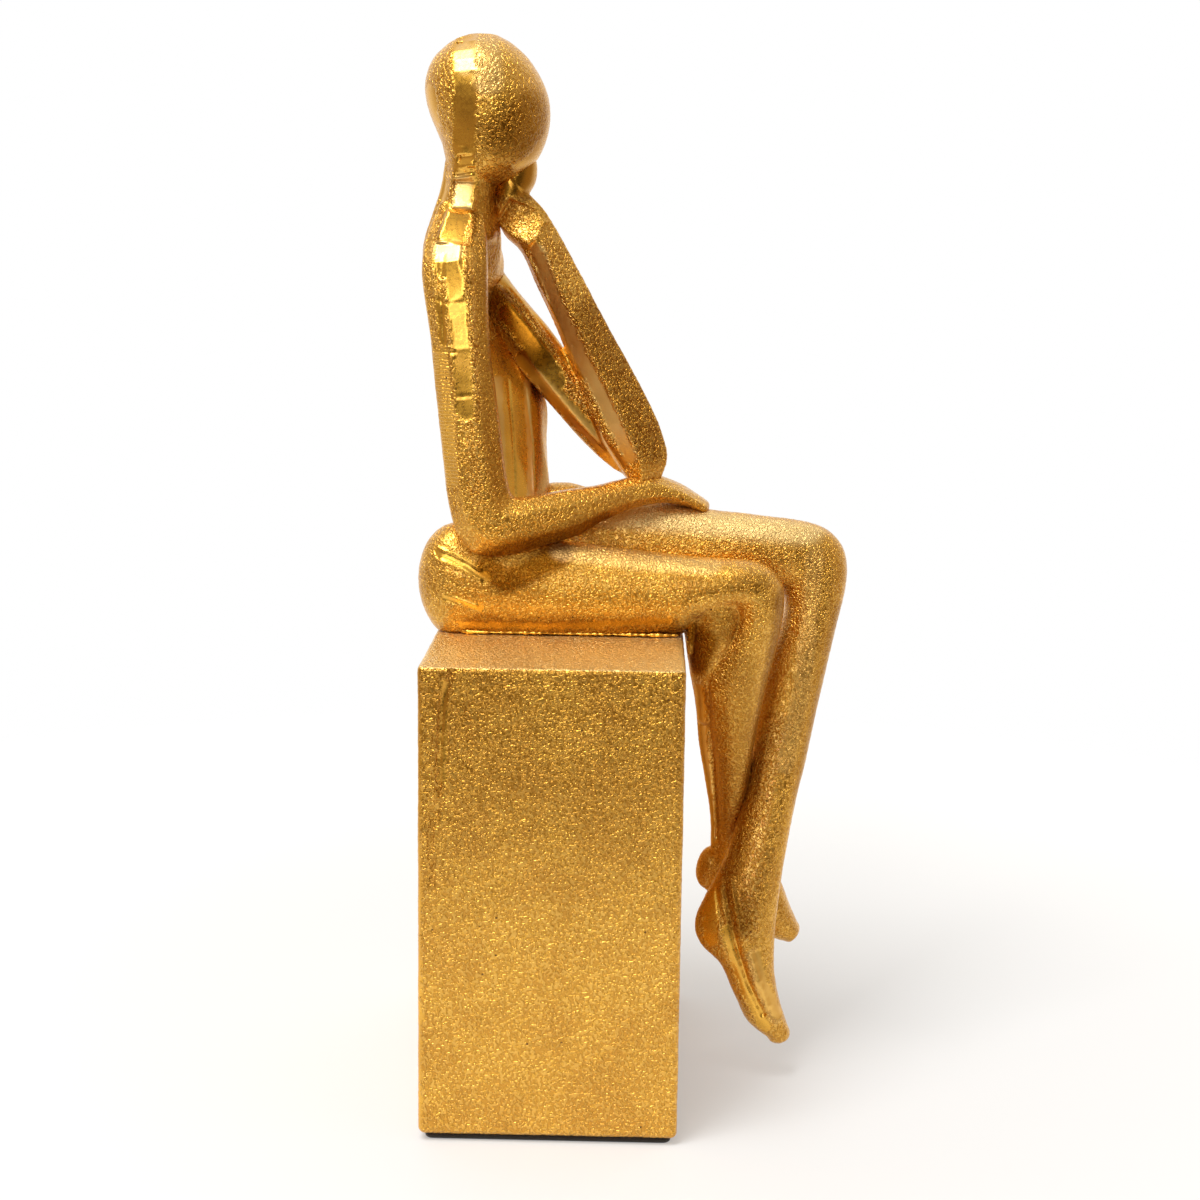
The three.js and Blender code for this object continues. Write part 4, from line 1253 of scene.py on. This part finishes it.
class FIGURINE_OT_arms(bpy.types.Operator):
    """Make the arm on the lap and the arm that props the chin."""

    bl_idname = "figurine.arms"
    bl_label = "Arms"

    def execute(self, context):
        voxel = context.scene.figurine_figure.voxel
        body = [TORSO, NECK, HEAD]
        left_limbs = [LEFT_UPPER_ARM, LEFT_FOREARM, LEFT_FIST]
        right = casting("right_arm_casting", [RIGHT_ARM], [*body, RIGHT_LEG, LEFT_LEG], voxel)
        left = casting("left_arm_casting", left_limbs, [*body, RIGHT_ARM], voxel)
        for piece, node, marks in (
            (right, "right_arm", RIGHT_ARM_MARKS), (left, "left_arm", LEFT_ARM_MARKS),
        ):
            gild(piece, marks)
            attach(piece, BODY)
            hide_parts(node)
        return {"FINISHED"}


def rounded_outline(length, depth, radius, inset, count, near=0.25):
    """Points round a rounded rectangle that is drawn in by inset.

    Each side is a straight run and a quarter circle of the radius. The last
    quarter of the way round, the near side, gets the share near of the points.
    """
    radius = max(radius - inset, 1e-6)
    half_x, half_y = length / 2 - inset - radius, depth / 2 - inset - radius
    sides = np.array([2 * half_y, 2 * half_x, 2 * half_y, 2 * half_x])
    arc = radius * np.pi / 2
    ends = np.cumsum(np.stack([sides, np.full(4, arc)], -1).ravel())
    at = ends[-1] * np.interp(np.arange(count) / count, [0, 1 - near, 1], [0, 0.75, 1])
    leg = np.searchsorted(ends, at, side="right")
    along = at - np.r_[0, ends][leg]
    quarter = leg // 2
    on_arc = leg % 2 == 1
    angle = np.pi / 2 * quarter + np.where(on_arc, along / radius, 0)
    corner_x = np.array([1, -1, -1, 1])[quarter] * half_x
    corner_y = np.array([1, 1, -1, -1])[quarter] * half_y
    back = np.where(on_arc, 0, sides[quarter] - along)
    outward = np.stack([np.cos(angle), np.sin(angle)], -1)
    tangent = np.stack([-np.sin(angle), np.cos(angle)], -1)
    return np.stack([corner_x, corner_y], -1) + radius * outward - tangent * back[:, None]


def block_surface(length, depth, radius, insets, heights, around, near=0.25):
    """A closed block: one rounded outline for each inset and height, and a pole at each end."""
    rows = [
        np.column_stack([
            rounded_outline(length, depth, radius, inset, around, near), np.full(around, z)])
        for inset, z in zip(insets, heights)
    ]
    poles = np.array([[0, 0, heights[0]], [0, 0, heights[-1]]])
    faces = [face[::-1] for face in tube_faces(len(rows), around)]
    return np.concatenate([*rows, poles]), faces


class FIGURINE_OT_plinth(bpy.types.Operator):
    """Make the gilded block that the figure sits on."""

    bl_idname = "figurine.plinth"
    bl_label = "Plinth"

    def execute(self, context):
        sizes = context.scene.figurine_plinth
        length, depth, _ = plinth_high - plinth_low
        bottom, top = plinth_low[2], plinth_high[2]
        edge_rings, lid_rings, near_share = 6, 28, 0.4
        w = np.linspace(0, np.pi / 2, edge_rings)
        foot_in = sizes.foot_radius * (1 - np.sin(w))
        foot_z = bottom + sizes.foot_radius * (1 - np.cos(w))
        top_in = sizes.top_radius * (1 - np.cos(w))
        top_z = top - sizes.top_radius * (1 - np.sin(w))
        rise = int((top - bottom) / sizes.facet)
        wall_z = np.linspace(foot_z[-1], top_z[0], rise)[1:-1]
        around = int(2 * (length + depth) / sizes.facet / 4) * 4
        inward = np.arange(1, lid_rings) / lid_rings
        lid_in = sizes.top_radius + (length / 2 - sizes.top_radius) * inward
        insets = np.concatenate([foot_in, np.zeros(len(wall_z)), top_in, lid_in])
        heights = np.concatenate([foot_z, wall_z, top_z, np.full(len(lid_in), top)])
        points, faces = block_surface(
            length, depth, sizes.corner_radius, insets, heights, around, near_share)
        piece = new_object("gilded_plinth", points, faces)
        gild(piece, PLINTH_MARKS)
        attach(piece, BODY)
        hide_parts("plinth_shell")
        return {"FINISHED"}


def bead_surface(path, radius, rows=900, around=10):
    """A lumpy bead: rings of changing radius round the line through the path's points.

    Ring radius is radius times 0.75 plus the noise at two sizes, and falls to
    nought at both ends as the square root of the distance from them.
    """
    line = spread(path, rows // (len(path) - 1))
    share = np.arange(len(line)) / (len(line) - 1)
    ends = np.clip(np.minimum(share, 1 - share) * 40, 0.01, 1)
    lumps = noise(line, 5, 41) * 0.8 + noise(line, 1.4, 42) * 0.7
    size = radius * np.clip(0.75 + lumps, 0.25, 2) * np.sqrt(ends)
    ahead = np.gradient(line, axis=0)
    ahead /= np.linalg.norm(ahead, axis=1)[:, None]
    side = np.cross(ahead, [0, 0, 1])
    side /= np.linalg.norm(side, axis=1)[:, None]
    up = np.cross(side, ahead)
    u = np.linspace(0, 2 * np.pi, around, endpoint=False)
    rings = line[:, None] + size[:, None, None] * (
        np.cos(u)[None, :, None] * side[:, None] + np.sin(u)[None, :, None] * up[:, None])
    points = np.concatenate([rings.reshape(-1, 3), line[:1], line[-1:]])
    return points, tube_faces(len(line), around)


class FIGURINE_OT_glue(bpy.types.Operator):
    """Make the gilded beads of glue that squeezed out between the figure and the seat."""

    bl_idname = "figurine.glue"
    bl_label = "Glue beads"

    def execute(self, context):
        for name, sign, radius in (("near_glue_bead", -1, 0.42), ("far_glue_bead", 1, 0.3)):
            points, faces = bead_surface([(x, sign * y, z) for x, y, z in GLUE_PATH], radius)
            bead = new_object(name, in_frame(points), faces)
            finish_piece(bead, gilt_material())
            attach(bead, BODY)
        return {"FINISHED"}


class FIGURINE_OT_underside(bpy.types.Operator):
    """Make the felt and finish the pieces inside the plinth and the figure."""

    bl_idname = "figurine.underside"
    bl_label = "Felt and inner pieces"

    def execute(self, context):
        length, depth, thickness = felt_high - felt_low
        bottom, top = felt_low[2], felt_high[2]
        rings, rim, corner, around = 24, 0.001, 0.002, 400
        w = np.linspace(0, np.pi, 7)
        lip = thickness / 2
        outwards = np.linspace(length / 2 - rim, rim, rings)
        inwards = np.linspace(rim, length / 2 - rim, rings)
        insets = np.concatenate([outwards, lip * (1 - np.sin(w)), inwards])
        edge_z = bottom + lip * (1 - np.cos(w))
        heights = np.concatenate([np.full(rings, bottom), edge_z, np.full(rings, top)])
        points, faces = block_surface(length, depth, corner, insets, heights, around)
        felt = new_object("felt_sole", points, faces)
        finish_piece(felt, felt_material())
        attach(felt, BODY)
        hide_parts("felt_pad")
        steel = steel_material()
        finishes = {"ballast_block": plaster_material(), "base_board": board_material()}
        finishes |= {name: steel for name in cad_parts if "_pin_" in name}
        for name, material in finishes.items():
            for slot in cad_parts[name].material_slots:
                slot.material = material
        return {"FINISHED"}


class FIGURINE_OT_stage(bpy.types.Operator):
    """Make the floor, the lights, the pale surroundings and the camera."""

    bl_idname = "figurine.stage"
    bl_label = "Stage"

    def execute(self, context):
        scene = context.scene
        studio = scene.figurine_studio
        scene.view_settings.view_transform = "Standard"
        make_floor(studio)
        softbox("key_softbox", (-0.3, -0.36, 1.0), (0, 0, 0.15), 0.42, 0.7, studio.key)
        softbox("front_softbox", (-0.16, -1.0, 0.45), (0, 0, 0.12), 0.36, 0.5, studio.front)
        make_surroundings(scene)
        make_camera(scene, studio)
        return {"FINISHED"}


def make_floor(studio):
    """A pale round floor that fades out at its rim, level with the felt's underside.

    Its points are rings of radius r: x is r cos u and y is r sin u.
    """
    rings, around, radius = 40, 96, 1.3
    r = np.linspace(0.02, 1, rings)[:, None] * radius
    u = np.linspace(0, 2 * np.pi, around, endpoint=False)
    x, y = r * np.cos(u), r * np.sin(u)
    points = np.stack([x, y, np.zeros_like(x)], -1).reshape(-1, 3)
    k = np.arange(around)
    after = (k + 1) % around
    start = np.arange(rings - 1)[:, None] * around
    quads = np.stack([start + k, start + around + k, start + around + after, start + after], -1)
    middle = np.stack([np.full(around, rings * around), k, after], -1)
    floor = new_object("floor", np.concatenate([points, [[0, 0, 0]]]),
                       quads.reshape(-1, 4).tolist() + middle.tolist())
    n = Finish("pale_floor")
    n.shader.inputs["Base Color"].default_value = (*studio.floor, 1)
    n.shader.inputs["Roughness"].default_value = 0.8
    n.shader.inputs["Specular IOR Level"].default_value = 0.2
    solid_to, gone_at = 0.2, 0.42
    dim_to, bright_at = 0.1, 0.4
    dim, bright = 0.3, 0.5
    length = n.add("ShaderNodeVectorMath", operation="LENGTH")
    n.join(n.place, length.inputs[0])
    away = length.outputs["Value"]
    n.join(n.span(away, solid_to, gone_at, 1.0, 0.0), n.shader.inputs["Alpha"])
    # The floor also glows: a painted light, dimmer near the middle than further out.
    n.shader.inputs["Emission Color"].default_value = (1, 1, 1, 1)
    glow = n.span(away, dim_to, bright_at, dim, bright)
    n.join(glow, n.shader.inputs["Emission Strength"])
    finish_piece(floor, n.material)


def softbox(name, place, target, width, height, power):
    """A rectangular light at a place, turned to its target."""
    light = bpy.data.lights.new(name, "AREA")
    light.shape = "RECTANGLE"
    light.size = width
    light.size_y = height
    light.energy = power
    lamp = bpy.data.objects.new(name, light)
    back = np.array(place, float) - np.array(target, float)
    back /= np.linalg.norm(back)
    side = np.cross([0, 0, 1], back)
    side /= np.linalg.norm(side)
    up = np.cross(back, side)
    turn = np.eye(4)
    turn[:3, 0], turn[:3, 1], turn[:3, 2], turn[:3, 3] = side, up, back, place
    lamp.matrix_world = Matrix(turn.tolist())
    bpy.context.scene.collection.objects.link(lamp)


def make_surroundings(scene):
    """White to the camera; to the object, white behind, warm and dim at the sides and in front."""
    world = bpy.data.worlds.new("studio")
    scene.world = world
    world.use_nodes = True
    studio = scene.figurine_studio
    n = Nodes(world.node_tree)
    place = n.add("ShaderNodeTexCoord")
    parts = n.add("ShaderNodeSeparateXYZ")
    n.join(place.outputs["Generated"], parts.inputs[0])
    x, y, z = parts.outputs
    right = n.span(x, 0.45, 1.0, 0.0, 0.5)
    left = n.span(x, -0.3, -0.95, 0.0, 0.42)
    sides = n.math("MAXIMUM", right, n.math("MAXIMUM", left, studio.dark))
    around = n.blend(sides, (0, 0, 0), tuple(studio.warm))
    around = n.blend(n.span(z, 0.0, 0.9, 0.0, studio.ceiling), around, (1, 0.97, 0.9))
    around = n.blend(n.span(y, 0.1, 0.7), around, (1, 0.985, 0.96))
    own = n.add("ShaderNodeBackground")
    n.join(around, own.inputs["Color"])
    white = n.add("ShaderNodeBackground")
    white.inputs["Color"].default_value = (1, 1, 1, 1)
    rays = n.add("ShaderNodeLightPath")
    mix = n.add("ShaderNodeMixShader")
    output = n.add("ShaderNodeOutputWorld")
    n.join(rays.outputs["Is Camera Ray"], mix.inputs[0])
    n.join(own.outputs[0], mix.inputs[1])
    n.join(white.outputs[0], mix.inputs[2])
    n.join(mix.outputs[0], output.inputs["Surface"])


def make_camera(scene, studio):
    """The photograph's viewpoint: slightly from the left, ten degrees down, barely tilted."""
    yaw, pitch, roll = math.radians(-1.18), math.radians(9.97), math.radians(0.77)
    place = (0.0200, -0.5067, 0.2084)
    level = np.array([math.sin(yaw), math.cos(yaw), 0])
    right = np.array([math.cos(yaw), -math.sin(yaw), 0])
    up = math.cos(pitch) * np.array([0, 0, 1]) + math.sin(pitch) * level
    ahead = math.cos(pitch) * level - math.sin(pitch) * np.array([0, 0, 1])
    turn = np.eye(4)
    turn[:3, 0] = math.cos(roll) * right + math.sin(roll) * up
    turn[:3, 1] = math.cos(roll) * up - math.sin(roll) * right
    turn[:3, 2] = -ahead
    turn[:3, 3] = place
    data = bpy.data.cameras.new("camera")
    data.lens = studio.lens
    data.sensor_width = 36
    data.clip_start, data.clip_end = 0.01, 50
    camera = bpy.data.objects.new("camera", data)
    camera.matrix_world = Matrix(turn.tolist())
    scene.collection.objects.link(camera)
    scene.camera = camera


class FIGURINE_PT_panel(bpy.types.Panel):
    """Lists the figurine's settings and the buttons that make its pieces."""

    bl_idname = "FIGURINE_PT_panel"
    bl_label = "Figurine"
    bl_space_type = "VIEW_3D"
    bl_region_type = "UI"
    bl_category = "Figurine"

    def draw(self, context):
        for group in SETTINGS:
            settings = getattr(context.scene, group)
            box = self.layout.box()
            for key in settings.bl_rna.properties.keys():
                if key not in ("rna_type", "name"):
                    box.prop(settings, key)
        for operator in OPERATORS:
            self.layout.operator(operator.bl_idname)


SETTINGS = {
    "figurine_figure": FIGURINE_PG_figure,
    "figurine_plinth": FIGURINE_PG_plinth,
    "figurine_finish": FIGURINE_PG_finish,
    "figurine_studio": FIGURINE_PG_studio,
}
OPERATORS = (
    FIGURINE_OT_legs,
    FIGURINE_OT_trunk,
    FIGURINE_OT_arms,
    FIGURINE_OT_plinth,
    FIGURINE_OT_glue,
    FIGURINE_OT_underside,
    FIGURINE_OT_stage,
)


def register():
    for kind in (*SETTINGS.values(), *OPERATORS, FIGURINE_PT_panel):
        bpy.utils.register_class(kind)
    for name, group in SETTINGS.items():
        setattr(bpy.types.Scene, name, bpy.props.PointerProperty(type=group))


def unregister():
    for name in SETTINGS:
        delattr(bpy.types.Scene, name)
    for kind in (FIGURINE_PT_panel, *reversed(OPERATORS), *SETTINGS.values()):
        bpy.utils.unregister_class(kind)


def main():
    register()
    bpy.ops.figurine.legs()
    bpy.ops.figurine.trunk()
    bpy.ops.figurine.arms()
    bpy.ops.figurine.plinth()
    bpy.ops.figurine.glue()
    bpy.ops.figurine.underside()
    bpy.ops.figurine.stage()


if __name__ == "__main__":
    main()
